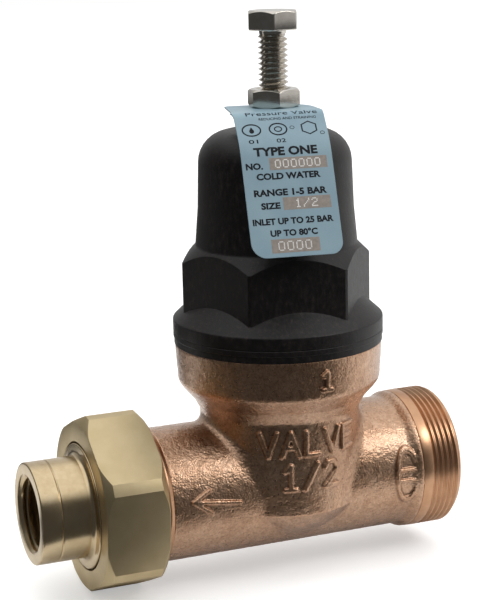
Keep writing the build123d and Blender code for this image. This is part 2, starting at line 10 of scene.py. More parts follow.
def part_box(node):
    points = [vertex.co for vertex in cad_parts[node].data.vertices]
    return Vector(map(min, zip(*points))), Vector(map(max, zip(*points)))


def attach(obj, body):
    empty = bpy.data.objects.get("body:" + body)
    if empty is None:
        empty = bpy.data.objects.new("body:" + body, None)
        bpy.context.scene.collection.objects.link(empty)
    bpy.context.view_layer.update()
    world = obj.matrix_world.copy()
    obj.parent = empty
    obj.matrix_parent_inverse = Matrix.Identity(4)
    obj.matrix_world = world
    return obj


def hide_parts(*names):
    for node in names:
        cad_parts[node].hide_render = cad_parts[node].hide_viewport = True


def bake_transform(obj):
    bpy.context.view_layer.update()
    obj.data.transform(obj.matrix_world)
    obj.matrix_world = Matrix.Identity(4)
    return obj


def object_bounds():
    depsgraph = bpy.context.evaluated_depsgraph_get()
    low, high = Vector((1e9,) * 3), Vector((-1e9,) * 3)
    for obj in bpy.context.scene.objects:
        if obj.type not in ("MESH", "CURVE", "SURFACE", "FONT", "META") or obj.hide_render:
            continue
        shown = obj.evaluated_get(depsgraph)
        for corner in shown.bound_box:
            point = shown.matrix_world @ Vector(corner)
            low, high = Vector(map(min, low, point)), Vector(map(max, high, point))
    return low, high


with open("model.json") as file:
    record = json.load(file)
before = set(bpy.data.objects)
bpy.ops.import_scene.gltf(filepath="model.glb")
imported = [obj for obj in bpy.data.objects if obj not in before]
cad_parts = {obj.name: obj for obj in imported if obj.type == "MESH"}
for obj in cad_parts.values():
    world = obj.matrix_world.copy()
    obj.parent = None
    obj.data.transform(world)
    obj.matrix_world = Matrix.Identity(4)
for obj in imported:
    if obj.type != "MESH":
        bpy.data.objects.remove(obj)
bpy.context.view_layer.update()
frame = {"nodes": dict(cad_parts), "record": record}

# Lengths are in mm until a mesh is made, and angles in radians unless a name says degrees.
MM = 0.001
TURN = 2 * math.pi
ROUND_COLUMNS = 193            # columns round a turned piece, the last on top of the first


def span(node):
    """Lowest and highest corner of a CAD node, in mm."""
    low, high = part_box(node)
    return np.array(low) / MM, np.array(high) / MM


# ---- Places taken from the frame ----
body_low, body_high = span("valve_body")
bonnet_low, bonnet_high = span("bonnet")
nut_low, nut_high = span("union_nut")
tail_low, tail_high = span("union_tailpiece")
screw_low, screw_high = span("adjusting_screw")
lock_low, lock_high = span("lock_nut")

STEM_X = (bonnet_low[0] + bonnet_high[0]) / 2
CUP_R = (body_high[1] - body_low[1]) / 2
CUP_TOP_Z = body_high[2]
UNION_FACE_X = body_low[0]
FLANGE_R = (bonnet_high[1] - bonnet_low[1]) / 2
BOSS_TOP_Z = bonnet_high[2]
NUT_CORNER_R = nut_high[2]


# ---- Sizes of the object ----
TUBE_R = 18.25
BARREL_R = 22.0
THREAD_CREST_R = 19.56
UNION_CREST_R = 19.3
UNION_PITCH = 1.5875
PIPE_PITCH = 1.8143
PIPE_R = 9.16
PIPE_TAPER = 1 / 32
SHARP_V = 0.6495               # depth of a full thread for one unit of pitch
SCREW_R = 3.96
SCREW_PITCH = 1.4111
HEX_FLATS = 12.7
NUT_FLATS = 44.6
NUT_TURN = math.radians(34.87)
HUB_R = 13.7
COLLAR_R = 16.9
CAST_RIGHT_X = -12.0
SHOULDER_RIGHT_X = STEM_X - 38.5
TAG_TURN = math.radians(-8.4)


# ---- Mesh helpers ----
def placed(name, data):
    """A new object in the scene."""
    made = bpy.data.objects.new(name, data)
    bpy.context.scene.collection.objects.link(made)
    return made


def piece(name, points, faces, body, material, slot=None, stands_for=(), sharp_degrees=32.0, weld=1e-4):
    """A mesh object from points in mm, welded, facing outwards, and riding on a CAD body when body names
    one.
    """
    mesh = bpy.data.meshes.new(name)
    mesh.from_pydata((np.asarray(points, float).reshape(-1, 3) * MM).tolist(), [], faces)
    work = bmesh.new()
    work.from_mesh(mesh)
    if weld:
        bmesh.ops.remove_doubles(work, verts=work.verts, dist=weld * MM)
        bmesh.ops.dissolve_degenerate(work, edges=work.edges, dist=weld * MM)
        loose = [v for v in work.verts if not v.link_faces]
        bmesh.ops.delete(work, geom=loose, context="VERTS")
    bmesh.ops.recalc_face_normals(work, faces=work.faces)
    work.to_mesh(mesh)
    work.free()
    return dressed(name, mesh, body, material, stands_for, sharp_degrees)


def dressed(name, mesh, body, material, stands_for=(), sharp_degrees=32.0):
    """An object for a finished mesh, shaded smooth up to an angle, with its material and body."""
    mesh.shade_smooth()
    mesh.set_sharp_from_angle(angle=math.radians(sharp_degrees))
    mesh.materials.clear()
    mesh.materials.append(material)
    made = placed(name, mesh)
    if isinstance(body, str):
        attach(made, body)
    else:
        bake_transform(made)
    if stands_for:
        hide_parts(*stands_for)
    return made


def grid_faces(rows, columns, closed):
    """Quads over a grid of points, row by row; a closed grid joins its last row to its first."""
    index = np.arange(rows * columns).reshape(rows, columns)
    if closed:
        index = np.vstack([index, index[:1]])
    quads = np.stack([index[:-1, :-1], index[1:, :-1], index[1:, 1:], index[:-1, 1:]], -1)
    return quads.reshape(-1, 4).tolist()


def rounded(points, radii, steps=4):
    """An outline with arcs at its corners, as rows of (along, radius) with one value per column."""
    columns = max(np.size(value) for point in points for value in point)
    path = np.array([[np.broadcast_to(value, columns) for value in point] for point in points], float)
    rows = []
    count = len(path)
    for place, radius in enumerate(radii):
        corner = path[place]
        if not radius:
            rows.append(corner)
            continue
        legs = []
        for other in (place - 1, (place + 1) % count):
            away = path[other] - corner
            length = np.linalg.norm(away, axis=0)
            legs.append((away / np.maximum(length, 1e-9), length * 0.98 * radius / (radius + radii[other])))
        (before, before_room), (after, after_room) = legs
        half = np.arccos(np.clip((before * after).sum(0), -1, 1)) / 2
        reach = radius / np.tan(np.maximum(half, 1e-6))
        reach = np.minimum(reach, np.minimum(before_room, after_room))
        weight = np.sin(half)
        for share in np.linspace(0, 1, steps + 1):
            first, middle, last = (1 - share) ** 2, 2 * share * (1 - share) * weight, share ** 2
            row = first * (corner + before * reach) + middle * corner + last * (corner + after * reach)
            rows.append(row / (first + middle + last))
    return np.array(rows)


def around_x(rows, angles):
    """Points of outline rows turned about the pipe axis; angle 0 is up and a quarter turn is -Y."""
    along, radius = rows[:, 0], rows[:, 1]
    return np.stack([along + 0 * angles, -radius * np.sin(angles), radius * np.cos(angles)], -1)


def around_z(rows, angles):
    """Points of outline rows turned about the stem axis; angle 0 is -Y and a quarter turn is +X."""
    along, radius = rows[:, 0], rows[:, 1]
    return np.stack([STEM_X + radius * np.sin(angles), -radius * np.cos(angles), along + 0 * angles], -1)


def wide(rows, angles):
    """Outline rows with one value for every column."""
    return np.broadcast_to(rows, (len(rows), 2, len(angles))) if rows.shape[2] == 1 else rows


def turned(name, rows, angles, axis, body, material, slot=None, stands_for=(), closed=True, **more):
    """A piece turned about the pipe axis or the stem axis from outline rows."""
    points = (around_x if axis == "x" else around_z)(wide(rows, angles), angles)
    faces = grid_faces(len(rows), len(angles), closed)
    return piece(name, points, faces, body, material, slot, stands_for, **more)


def round_angles(columns=ROUND_COLUMNS):
    return np.linspace(0, TURN, columns)


def thread(first, last, crest, depth, pitch, angles, limit=None, taper=0.0):
    """Rows of a right-hand helical thread from first to last; a negative depth cuts a female one."""
    low, high = min(first, last), max(first, last)
    root = crest - depth
    middle = crest - depth / 2
    fractions = (0.0, 0.06, 0.25, 0.44, 0.56, 0.75, 0.94, 1.0)
    radii = (root, root, middle, crest, crest, middle, root, root)
    turns = angles / TURN
    rows = []
    for turn in range(-1, int(math.ceil((high - low) / pitch)) + 1):
        for fraction, radius in list(zip(fractions, radii))[1:-1]:
            along = low + (turn + fraction + turns) * pitch
            inside = (along > low) & (along < high)
            place = np.clip(along, low, high)
            phase = np.mod((place - low) / pitch - turns, 1)
            rows.append([place, np.where(inside, radius, np.interp(phase, fractions, radii))])
    rows = np.array(rows)
    rows[:, 1] += taper * (rows[:, 0] - first)
    if limit:
        bound = np.interp(rows[:, 0], [p[0] for p in limit], [p[1] for p in limit])
        rows[:, 1] = np.minimum(rows[:, 1], bound) if depth > 0 else np.maximum(rows[:, 1], bound)
    return rows if last > first else rows[::-1]


def hexagon(flats, corner_r, turn):
    """Column angles and radii of a hexagon whose corners are turned to corner_r."""
    half = math.acos(flats / 2 / corner_r)
    angles = []
    for side in range(6):
        middle = turn + side * TURN / 6
        angles += list(middle + np.linspace(-half, half, 15))
        angles += list(middle + np.linspace(half, TURN / 6 - half, 5))[1:-1]
    angles.append(angles[0] + TURN)
    angles = np.array(angles)
    return angles, np.minimum(hexagon_radius(angles, flats, turn), corner_r)


def hexagon_radius(angles, flats, turn):
    """Radius of a sharp hexagon at each angle."""
    off = np.mod(angles - turn + TURN / 12, TURN / 6) - TURN / 12
    return flats / 2 / np.cos(off)


def smooth(value, low, high):
    """0 below low and 1 above high, with a smooth change between."""
    share = np.clip((value - low) / (high - low), 0, 1)
    return share * share * (3 - 2 * share)


# ---- Node materials ----
def wired(tree, kind, inputs=None, **settings):
    """A new shader node. Its inputs, by name or place, are values or the outputs of other nodes."""
    made = tree.nodes.new(kind)
    for setting, value in settings.items():
        setattr(made, setting, value)
    for socket, value in (inputs or {}).items():
        if isinstance(value, bpy.types.NodeSocket):
            tree.links.new(value, made.inputs[socket])
        else:
            made.inputs[socket].default_value = value
    return made


class Finish:
    """A node material under construction. Its textures are measured in mm."""

    def __init__(self, name, metallic=0.0, **sockets):
        self.material = bpy.data.materials.new(name)
        self.material.use_nodes = True
        self.tree = self.material.node_tree
        self.shader = self.tree.nodes["Principled BSDF"].inputs
        for socket, value in {"Metallic": metallic, **sockets}.items():
            self.shader[socket.replace("_", " ")].default_value = value
        place = self.node("ShaderNodeTexCoord").outputs["Object"]
        self.place = self.vector("SCALE", {0: place, "Scale": 1 / MM})

    def node(self, kind, inputs=None, **settings):
        return wired(self.tree, kind, inputs, **settings)

    def vector(self, operation, inputs, output="Vector"):
        return self.node("ShaderNodeVectorMath", inputs, operation=operation).outputs[output]

    def stretched(self, factors, source=None):
        """The place, stretched by a factor along each axis."""
        return self.vector("MULTIPLY", {0: source or self.place, 1: factors})

    def turned(self, axis, centre):
        """(along, radius, 0) about an axis, so that noise over it draws turning marks."""
        moved = self.vector("SUBTRACT", {0: self.place, 1: centre})
        along = self.node("ShaderNodeSeparateXYZ", {0: moved}).outputs[axis]
        flat = self.stretched((0, 1, 1) if axis == "X" else (1, 1, 0), moved)
        radius = self.vector("LENGTH", {0: flat}, "Value")
        return self.node("ShaderNodeCombineXYZ", {"X": along, "Y": radius}).outputs[0]

    def noise(self, scale, detail, roughness, at=None, distortion=0.0):
        inputs = {"Scale": scale, "Detail": detail, "Roughness": roughness, "Distortion": distortion,
                  "Vector": at or self.place}
        return self.node("ShaderNodeTexNoise", inputs).outputs["Fac"]

    def cells(self, scale):
        return self.node("ShaderNodeTexVoronoi", {"Scale": scale, "Vector": self.place}).outputs["Distance"]

    def ramp(self, source, *stops):
        """Colours or grey levels along a 0 to 1 value."""
        made = self.node("ShaderNodeValToRGB", {"Fac": source})
        ramp = made.color_ramp
        while len(ramp.elements) < len(stops):
            ramp.elements.new(0.5)
        for element, (place, colour) in zip(ramp.elements, stops):
            element.position = place
            element.color = (colour, colour, colour, 1) if isinstance(colour, float) else (*colour, 1)
        return made.outputs["Color"]

    def tinted(self, share, colour, tint):
        """A colour multiplied by a tint, to a share."""
        return self.node("ShaderNodeMix", {"Factor": share, "A": colour, "B": tint},
                         data_type="RGBA", blend_type="MULTIPLY").outputs["Result"]

    def added(self, first, second, share):
        """first + share * second, as a height."""
        return self.node("ShaderNodeMath", {0: second, 1: share, 2: first},
                         operation="MULTIPLY_ADD").outputs[0]

    def made(self, colour, matt, low, high, height, millimetres, strength):
        """The material: its colour, its roughness from low to high by matt, and its relief."""
        bump = self.node("ShaderNodeBump", {"Height": height, "Distance": millimetres * MM,
                                            "Strength": strength})
        rough = self.ramp(matt, (0.25, low), (0.75, high))
        for socket, source in (("Base Color", colour), ("Roughness", rough), ("Normal", bump.outputs[0])):
            self.tree.links.new(source, self.shader[socket])
        return self.material


def cast_bronze():
    finish = Finish("cast_bronze", 1.0, Coat_Weight=0.5, Coat_Roughness=0.25)
    sand = finish.noise(1.6, 3.0, 0.6)
    pits = finish.cells(1.9)
    patch = finish.noise(0.09, 3.0, 0.6, distortion=0.4)
    stain = finish.noise(0.6, 5.0, 0.65)
    body = finish.ramp(patch, (0.3, (0.53, 0.32, 0.20)), (0.52, (0.62, 0.395, 0.26)),
                       (0.75, (0.68, 0.46, 0.32)))
    tint = finish.ramp(stain, (0.35, (0.76, 0.69, 0.63)), (0.6, 1.0))
    grit = finish.ramp(sand, (0.36, (0.50, 0.44, 0.38)), (0.56, 1.0))
    # Pointiness paints shade into the crevices round the raised marks (darker) and edge wear onto the convex
    # edges (lighter).
    edges = finish.node("ShaderNodeNewGeometry").outputs["Pointiness"]
    crevice_shade_and_edge_wear = finish.ramp(edges, (0.43, (0.42, 0.34, 0.27)), (0.495, 1.0), (0.57, (1.25, 1.2, 1.15)))
    gritty = finish.tinted(0.45, finish.tinted(0.75, body, tint), grit)
    return finish.made(finish.tinted(0.9, gritty, crevice_shade_and_edge_wear), finish.noise(0.8, 4.0, 0.6), 0.24, 0.36,
                       finish.added(sand, pits, -0.5), 0.17, 0.75)


def machined(name, axis, centre, dark, light, rough, marks=7.0, depth=0.012):
    """Turned metal: fine marks round an axis and faint blotches."""
    finish = Finish(name, 1.0)
    lines = finish.noise(marks, 3.0, 0.7, finish.stretched((1, 1, 0), finish.turned(axis, centre)))
    colour = finish.ramp(finish.noise(0.22, 4.0, 0.6), (0.3, dark), (0.7, light))
    return finish.made(colour, lines, rough - 0.05, rough + 0.07, lines, depth, 0.6)


def matte_brass():
    finish = Finish("nut_brass", 1.0)
    grain = finish.noise(9.0, 3.0, 0.6)
    blotch = finish.noise(0.15, 4.0, 0.55)
    colour = finish.ramp(blotch, (0.3, (0.62, 0.495, 0.285)), (0.7, (0.70, 0.57, 0.35)))
    return finish.made(colour, grain, 0.40, 0.50, grain, 0.012, 0.5)


def black_polymer():
    finish = Finish("black_polymer", Specular_IOR_Level=0.36)
    flow = finish.noise(0.05, 4.0, 0.6, distortion=0.6)
    fibre = finish.noise(0.9, 6.0, 0.75, finish.stretched((1, 1, 0.5)))
    speck = finish.cells(2.6)
    body = finish.ramp(flow, (0.3, (0.0042, 0.0036, 0.0035)), (0.7, (0.0080, 0.0067, 0.0063)))
    dust = finish.ramp(fibre, (0.40, 0.6), (0.54, (1.6, 1.5, 1.45)), (0.68, (6.0, 5.3, 5.0)))
    return finish.made(finish.tinted(0.6, body, dust), fibre, 0.36, 0.54,
                       finish.added(fibre, speck, 0.35), 0.06, 0.7)


def stainless():
    finish = Finish("stainless", 1.0)
    scratch = finish.noise(3.5, 4.0, 0.65, finish.stretched((1, 1, 5)))
    blotch = finish.noise(0.4, 3.0, 0.5)
    colour = finish.ramp(blotch, (0.3, (0.60, 0.56, 0.50)), (0.7, (0.68, 0.645, 0.59)))
    return finish.made(colour, scratch, 0.13, 0.22, scratch, 0.012, 0.5)


def blue_plate():
    finish = Finish("blue_plate", Coat_Weight=0.25, Coat_Roughness=0.3)
    speckle = finish.noise(7.0, 4.0, 0.7)
    cloud = finish.noise(0.09, 2.0, 0.5)
    body = finish.ramp(cloud, (0.3, (0.185, 0.288, 0.348)), (0.7, (0.232, 0.342, 0.395)))
    grain = finish.ramp(speckle, (0.3, (0.86, 0.88, 0.9)), (0.7, (1.06, 1.05, 1.04)))
    return finish.made(finish.tinted(0.8, body, grain), speckle, 0.42, 0.55, speckle, 0.01, 0.5)


def simple(name, dark, light, scale, low, high, relief, metallic=0.0, **sockets):
    """A plain procedural finish: two tones, two roughness levels and a fine relief."""
    finish = Finish(name, metallic, **sockets)
    colour = finish.ramp(finish.noise(scale, 4.0, 0.6), (0.3, dark), (0.7, light))
    fine = finish.noise(scale * 6, 3.0, 0.6)
    return finish.made(colour, fine, low, high, fine, relief, 0.6)


STEM_CENTRE = (STEM_X, 0.0, 0.0)
BRONZE = cast_bronze()
CUT_BRONZE = machined("machined_bronze", "X", (0, 0, 0), (0.54, 0.30, 0.17), (0.66, 0.39, 0.235), 0.30)
NUT_BRASS = matte_brass()
TAIL_BRASS = machined("turned_brass", "X", (0, 0, 0), (0.58, 0.44, 0.255), (0.72, 0.58, 0.375), 0.21,
                      10.0, 0.006)
YELLOW_BRASS = machined("yellow_brass", "Z", STEM_CENTRE, (0.70, 0.50, 0.22), (0.80, 0.62, 0.32), 0.25)
POLYMER = black_polymer()
STEEL = stainless()
PLATE = blue_plate()
INK = simple("ink", (0.003, 0.004, 0.006), (0.008, 0.009, 0.012), 4.0, 0.5, 0.65, 0.004,
             Specular_IOR_Level=0.25)
TAN = simple("bare_field", (0.205, 0.18, 0.155), (0.28, 0.24, 0.21), 1.2, 0.4, 0.55, 0.006)
WHITE = simple("punched_white", (0.60, 0.58, 0.55), (0.75, 0.73, 0.70), 3.0, 0.5, 0.65, 0.004)
ZINC = machined("zinc_steel", "Z", STEM_CENTRE, (0.48, 0.48, 0.47), (0.62, 0.62, 0.60), 0.33)
SPRING_STEEL = simple("spring_steel", (0.16, 0.16, 0.17), (0.30, 0.30, 0.31), 0.5, 0.30, 0.45, 0.01, 1.0)
RUBBER = simple("diaphragm_rubber", (0.012, 0.012, 0.012), (0.028, 0.027, 0.026), 0.8, 0.55, 0.75, 0.03)
SEAL = simple("seal_rubber", (0.008, 0.008, 0.009), (0.02, 0.02, 0.021), 1.0, 0.40, 0.60, 0.01)
ACETAL = simple("white_acetal", (0.66, 0.65, 0.62), (0.76, 0.75, 0.72), 0.6, 0.35, 0.5, 0.008)
FIBRE = simple("fibre", (0.30, 0.10, 0.06), (0.42, 0.17, 0.10), 1.5, 0.7, 0.9, 0.03)

SLOT_FINISH = {
    "cast_bronze": BRONZE, "black_polymer": POLYMER, "yellow_brass": YELLOW_BRASS,
    "nut_brass": NUT_BRASS, "turned_brass": TAIL_BRASS, "stainless": STEEL, "blue_plate": PLATE,
    "zinc_steel": ZINC, "spring_steel": SPRING_STEEL, "diaphragm_rubber": RUBBER,
    "seal_rubber": SEAL, "white_acetal": ACETAL, "fibre": FIBRE,
}
for component in frame["record"]["materials"]:
    for node in component.get("nodes", []):
        shown = frame["nodes"][node]
        shown.data.materials.clear()
        shown.data.materials.append(SLOT_FINISH[component["slot"]])


# ---- Casting ----
# Distances are signed, in mm, from points (u, y, z) with u measured from the stem axis along X.
CAST_LEFT_U = SHOULDER_RIGHT_X - STEM_X
CAST_RIGHT_U = CAST_RIGHT_X - STEM_X
DISH_R, DISH_Z = 26.7, 10.6    # the barrel's spherical floor
dish = [(DISH_Z - DISH_R * math.cos(a), DISH_R * math.sin(a))
        for a in np.linspace(0, math.asin(BARREL_R / DISH_R), 17)]
barrel_outline = [tuple(row[::-1, 0]) for row in rounded(
    dish + [(21.0, BARREL_R), (24.3, 23.8), (28.9, 27.7), (CUP_TOP_Z, CUP_R), (CUP_TOP_Z, 0.0)],
    (0,) * 16 + (0.8, 3.0, 2.5, 3.0, 0.5, 0), 3)]
cavity_outline = [(0.0, -13.0), (6.4, -13.0), (6.4, -10.0), (13.0, -10.0), (13.0, 4.5), (10.55, 4.5),
                  (10.55, 10.0), (19.0, 10.0), (19.0, 28.0), (24.6, 28.0), (24.6, CUP_TOP_Z + 9),
                  (0.0, CUP_TOP_Z + 9)]
RISER_U, RISER_Z, RISER_R, RISER_LENGTH = -27.0, 3.0, 5.5, 11.3   # slanting passage over the partition
INLET_PORT_U, INLET_PORT_R = 11.5, 7.5
OUTLET_PORT_U, OUTLET_PORT_R = -24.0, 9.0

LETTER_STROKES = {
    "V": [[(0, 1), (0.5, 0), (1, 1)]],
    "L": [[(0.1, 1), (0.1, 0), (0.9, 0)]],
    "A": [[(0, 0), (0.5, 1), (1, 0)], [(0.2, 0.36), (0.8, 0.36)]],
    "E": [[(0.95, 1), (0.05, 1), (0.05, 0), (0.95, 0)], [(0.05, 0.52), (0.75, 0.52)]],
    "1": [[(0.25, 0.78), (0.55, 1), (0.55, 0)], [(0.25, 0), (0.85, 0)]],
    "/": [[(0.1, 0), (0.9, 1)]],
    "2": [[(0.08, 0.78), (0.3, 1), (0.68, 1), (0.92, 0.8), (0.9, 0.58), (0.08, 0), (0.95, 0)]],
}


def word_strokes(word, left, right, low, high, gap=0.28):
    """Strokes of a word between two ends of a line, as pairs of points."""
    pitch = (right - left) / (len(word) + gap * (len(word) - 1))
    strokes = []
    for place, letter in enumerate(word):
        start = left + place * pitch * (1 + gap)
        for line in LETTER_STROKES[letter]:
            spots = [(start + x * pitch, low + y * (high - low)) for x, y in line]
            strokes += list(zip(spots, spots[1:]))
    return strokes


def arc_degrees(radius, first, last):
    """Lengths along a wall of that radius for two angles in degrees."""
    return math.radians(first) * radius, math.radians(last) * radius


barrel_strokes = (
    word_strokes("VALVE", *arc_degrees(BARREL_R, -38, 37), 12.3, 18.7)
    + word_strokes("1/2", *arc_degrees(BARREL_R, -23, 20), 2.9, 9.6)
)
cup_strokes = word_strokes("1", *arc_degrees(CUP_R, -1.5, 6.5), 31.6, 36.2)
arrow_tip = (-33.0, math.radians(82) * TUBE_R)
arrow_strokes = [
    ((-19.8, math.radians(87.5) * TUBE_R), arrow_tip),
    (arrow_tip, (-28.4, math.radians(74) * TUBE_R)),
    (arrow_tip, (-28.0, math.radians(93) * TUBE_R)),
]
ring_middle = (30.4, math.radians(87) * TUBE_R)
RING_HALF = (3.1, 7.2)
STROKE_HALF = 0.64
RELIEF = 0.75


def stroke_distance(a, b, strokes, half):
    """Signed distance to strokes of that half width."""
    nearest = np.full(a.shape, 1e9, np.float32)
    for (ax, ay), (bx, by) in strokes:
        ex, ey = bx - ax, by - ay
        share = np.clip(((a - ax) * ex + (b - ay) * ey) / (ex * ex + ey * ey), 0, 1)
        nearest = np.minimum(nearest, np.hypot(a - ax - share * ex, b - ay - share * ey))
    return nearest - half


def ring_distance(a, b, middle, half):
    """Roughly the distance to an upright oval ring with a cross bar."""
    x, y = (a - middle[0]) / half[0], (b - middle[1]) / half[1]
    size = np.hypot(x, y)
    ring = np.abs(size - 1) * half[0] * (0.7 + 0.3 * np.abs(y) / np.maximum(size, 1e-3))
    bars = np.minimum(np.abs(b - middle[1] - 1.5), np.abs(b - middle[1] + 1.5))
    bars = np.maximum(bars, (np.abs(a - middle[0]) - half[0] * 0.75))
    return np.minimum(ring, bars) - 0.42


def polygon_distance(x, y, corners):
    """Signed distance to a closed outline."""
    nearest = np.full(x.shape, 1e9, np.float32)
    inside = np.zeros(x.shape, bool)
    for (ax, ay), (bx, by) in zip(corners, corners[1:] + corners[:1]):
        ex, ey = bx - ax, by - ay
        if ex * ex + ey * ey < 1e-8:
            continue
        px, py = x - ax, y - ay
        share = np.clip((px * ex + py * ey) / (ex * ex + ey * ey), 0, 1)
        nearest = np.minimum(nearest, (px - share * ex) ** 2 + (py - share * ey) ** 2)
        if ey:
            inside ^= ((ay > y) != (by > y)) & (px < ex * py / ey)
    return np.where(inside, -1, 1) * np.sqrt(nearest)


def round_union(first, second, radius):
    """Union of two solids with a fillet of that radius between them."""
    near = np.maximum(radius - first, 0), np.maximum(radius - second, 0)
    return np.maximum(radius, np.minimum(first, second)) - np.hypot(*near)


def raised(solid, mark, cap):
    """Solid with a raised mark: mark is the distance in its plane, cap the distance to its top."""
    height = -round_union(-mark, -cap, 0.35)
    return round_union(solid, height, 0.3)


def outer_distance(points):
    """The casting's outside, before anything is bored."""
    u, y, z = points.T
    tube_radius = np.hypot(y, z)
    swell = 1.15 * smooth(u, CAST_RIGHT_U - 3.4, CAST_RIGHT_U - 0.6)
    tube = tube_radius - TUBE_R - swell
    radius = np.hypot(u, y)
    barrel = polygon_distance(radius, z, barrel_outline)
    blend = 0.5 + 1.8 * smooth(z, -4.0, 12.0)
    solid = round_union(tube, barrel, blend)
    near = np.abs(solid) < 1.6
    front = near & (y < -6)
    angle = np.arctan2(u, -y)
    for strokes, wall, low, high in (
        (barrel_strokes, BARREL_R, 1.0, 20.5),
        (cup_strokes, CUP_R, 30.0, 38.0),
    ):
        spot = np.nonzero(front & (z > low) & (z < high) & (np.abs(angle) < 0.9))[0]
        mark = stroke_distance(angle[spot] * wall, z[spot], strokes, STROKE_HALF)
        solid[spot] = raised(solid[spot], mark, radius[spot] - wall - RELIEF)
    around = np.arctan2(-y, z) * TUBE_R
    spot = np.nonzero(front & (u < -17) & (u > -36))[0]
    mark = stroke_distance(u[spot], around[spot], arrow_strokes, 0.55)
    solid[spot] = raised(solid[spot], mark, tube_radius[spot] - TUBE_R - RELIEF)
    spot = np.nonzero(front & (u > 25) & (u < CAST_RIGHT_U))[0]
    mark = ring_distance(u[spot], around[spot], ring_middle, RING_HALF)
    solid[spot] = raised(solid[spot], mark, tube_radius[spot] - TUBE_R - RELIEF)
    return solid


def casting_distance(points):
    """The casting with its chambers and ports."""
    u, y, z = points.T
    solid = outer_distance(points)
    solid = np.maximum(solid, np.maximum(CAST_LEFT_U - u, u - CAST_RIGHT_U))
    bore = np.hypot(y, z)
    beside, above = u - RISER_U, z - RISER_Z
    along = (beside + above) / math.sqrt(2)
    riser = np.sqrt(np.maximum(beside ** 2 + y ** 2 + above ** 2 - along ** 2, 0)) - RISER_R
    hollows = [
        polygon_distance(np.hypot(u, y), z, cavity_outline),
        np.maximum(bore - INLET_PORT_R, INLET_PORT_U - u),
        np.maximum(bore - PIPE_R, CAST_RIGHT_U - 1.0 - u),
        np.maximum(bore - OUTLET_PORT_R, u - OUTLET_PORT_U),
        np.maximum(riser, np.maximum(-along, along - RISER_LENGTH)),
    ]
    for hollow in hollows:
        solid = np.maximum(solid, -hollow)
    return solid


def in_pieces(distance, points, size=400000):
    """Distances worked out a part at a time, to save memory."""
    parts = [distance(points[i:i + size]) for i in range(0, len(points), size)]
    return np.concatenate(parts)


def surface_net(distance, low, high, cell):
    """Points and quads of a solid's surface on a grid, then drawn onto the surface itself."""
    counts = [int(math.ceil((end - start) / cell)) + 1 for start, end in zip(low, high)]
    axes = [start + cell * np.arange(n) for start, n in zip(low, counts)]
    lattice = np.stack(np.meshgrid(*axes, indexing="ij"), -1).reshape(-1, 3).astype(np.float32)
    value = in_pieces(distance, lattice).reshape(counts)
    corners = [(i, j, k) for i in (0, 1) for j in (0, 1) for k in (0, 1)]
    cells = [n - 1 for n in counts]

    def shifted(array, corner):
        return array[tuple(slice(c, c + n) for c, n in zip(corner, cells))]

    inside = value < 0
    full = sum(shifted(inside, c).astype(np.int8) for c in corners)
    active = (full > 0) & (full < 8)
    place = np.argwhere(active)
    number = np.full(active.shape, -1, np.int64)
    number[active] = np.arange(len(place))
    at = [value[tuple((place + c).T)] for c in corners]
    steps = np.eye(3, dtype=np.int64)
    total = np.zeros((len(place), 3))
    crossings = np.zeros(len(place))
    for first, axis in [(f, a) for f in range(8) for a in range(3) if not corners[f][a]]:
        second = first + (4, 2, 1)[axis]
        cross = (at[first] < 0) != (at[second] < 0)
        share = at[first] / np.where(cross, at[first] - at[second], 1)
        total[cross] += (np.array(corners[first], float) + np.outer(share, steps[axis]))[cross]
        crossings += cross
    points = np.array(low) + cell * (place + total / crossings[:, None])
    quads = []
    for axis in range(3):
        other, third = (axis + 1) % 3, (axis + 2) % 3
        ring = [a * steps[other] + b * steps[third] for a, b in ((-1, -1), (0, -1), (0, 0), (-1, 0))]
        first, second = (inside.take(range(k, counts[axis] - 1 + k), axis) for k in (0, 1))
        for change, order in ((first & ~second, ring), (~first & second, ring[::-1])):
            edge = np.argwhere(change)
            edge = edge[np.all((edge > 0) & (edge < np.array(counts) - 1) | (steps[axis] > 0), axis=1)]
            quads.append(np.stack([number[tuple((edge + step).T)] for step in order], -1))
    for _ in range(2):
        off = np.clip(in_pieces(distance, points), -0.5 * cell, 0.5 * cell)
        points = points - off[:, None] * gradient(distance, points)
    return points, np.concatenate(quads)


def gradient(distance, points, reach=0.04):
    """Unit directions in which the distance grows fastest."""
    parts = []
    for axis in np.eye(3):
        parts.append(in_pieces(distance, points + reach * axis) - in_pieces(distance, points - reach * axis))
    slope = np.stack(parts, -1)
    return slope / np.maximum(np.linalg.norm(slope, axis=1, keepdims=True), 1e-6)


def lumps(points, size, seed):
    """Smooth random heights from -1 to 1, of lumps about that many mm across."""
    shift = Vector((seed, 2 * seed, 3 * seed))
    return np.array([noise.noise(Vector(p) / size + shift) for p in points.tolist()])


def make_casting():
    cell = 0.33
    low = (CAST_LEFT_U - 1, -CUP_R - 1.5, -TUBE_R - 3.0)
    high = (CAST_RIGHT_U + 1, CUP_R + 1.5, CUP_TOP_Z + 1)
    points, quads = surface_net(casting_distance, low, high, cell)
    skin = np.abs(in_pieces(outer_distance, points)) < 0.1
    skin &= (points[:, 2] < CUP_TOP_Z - 0.3) & (points[:, 0] < CAST_RIGHT_U - 0.3)
    skin &= points[:, 0] > CAST_LEFT_U + 0.3
    cast = points[skin]
    height = 0.05 * lumps(cast, 2.2, 1.7) + 0.045 * lumps(cast, 1.05, 5.1)
    points[skin] = cast + height[:, None] * gradient(outer_distance, cast)
    points[:, 0] += STEM_X
    return piece("body_casting", points, quads.tolist(), "root", BRONZE, "cast_bronze",
                 ("valve_body",), sharp_degrees=75.0, weld=0)


make_casting()


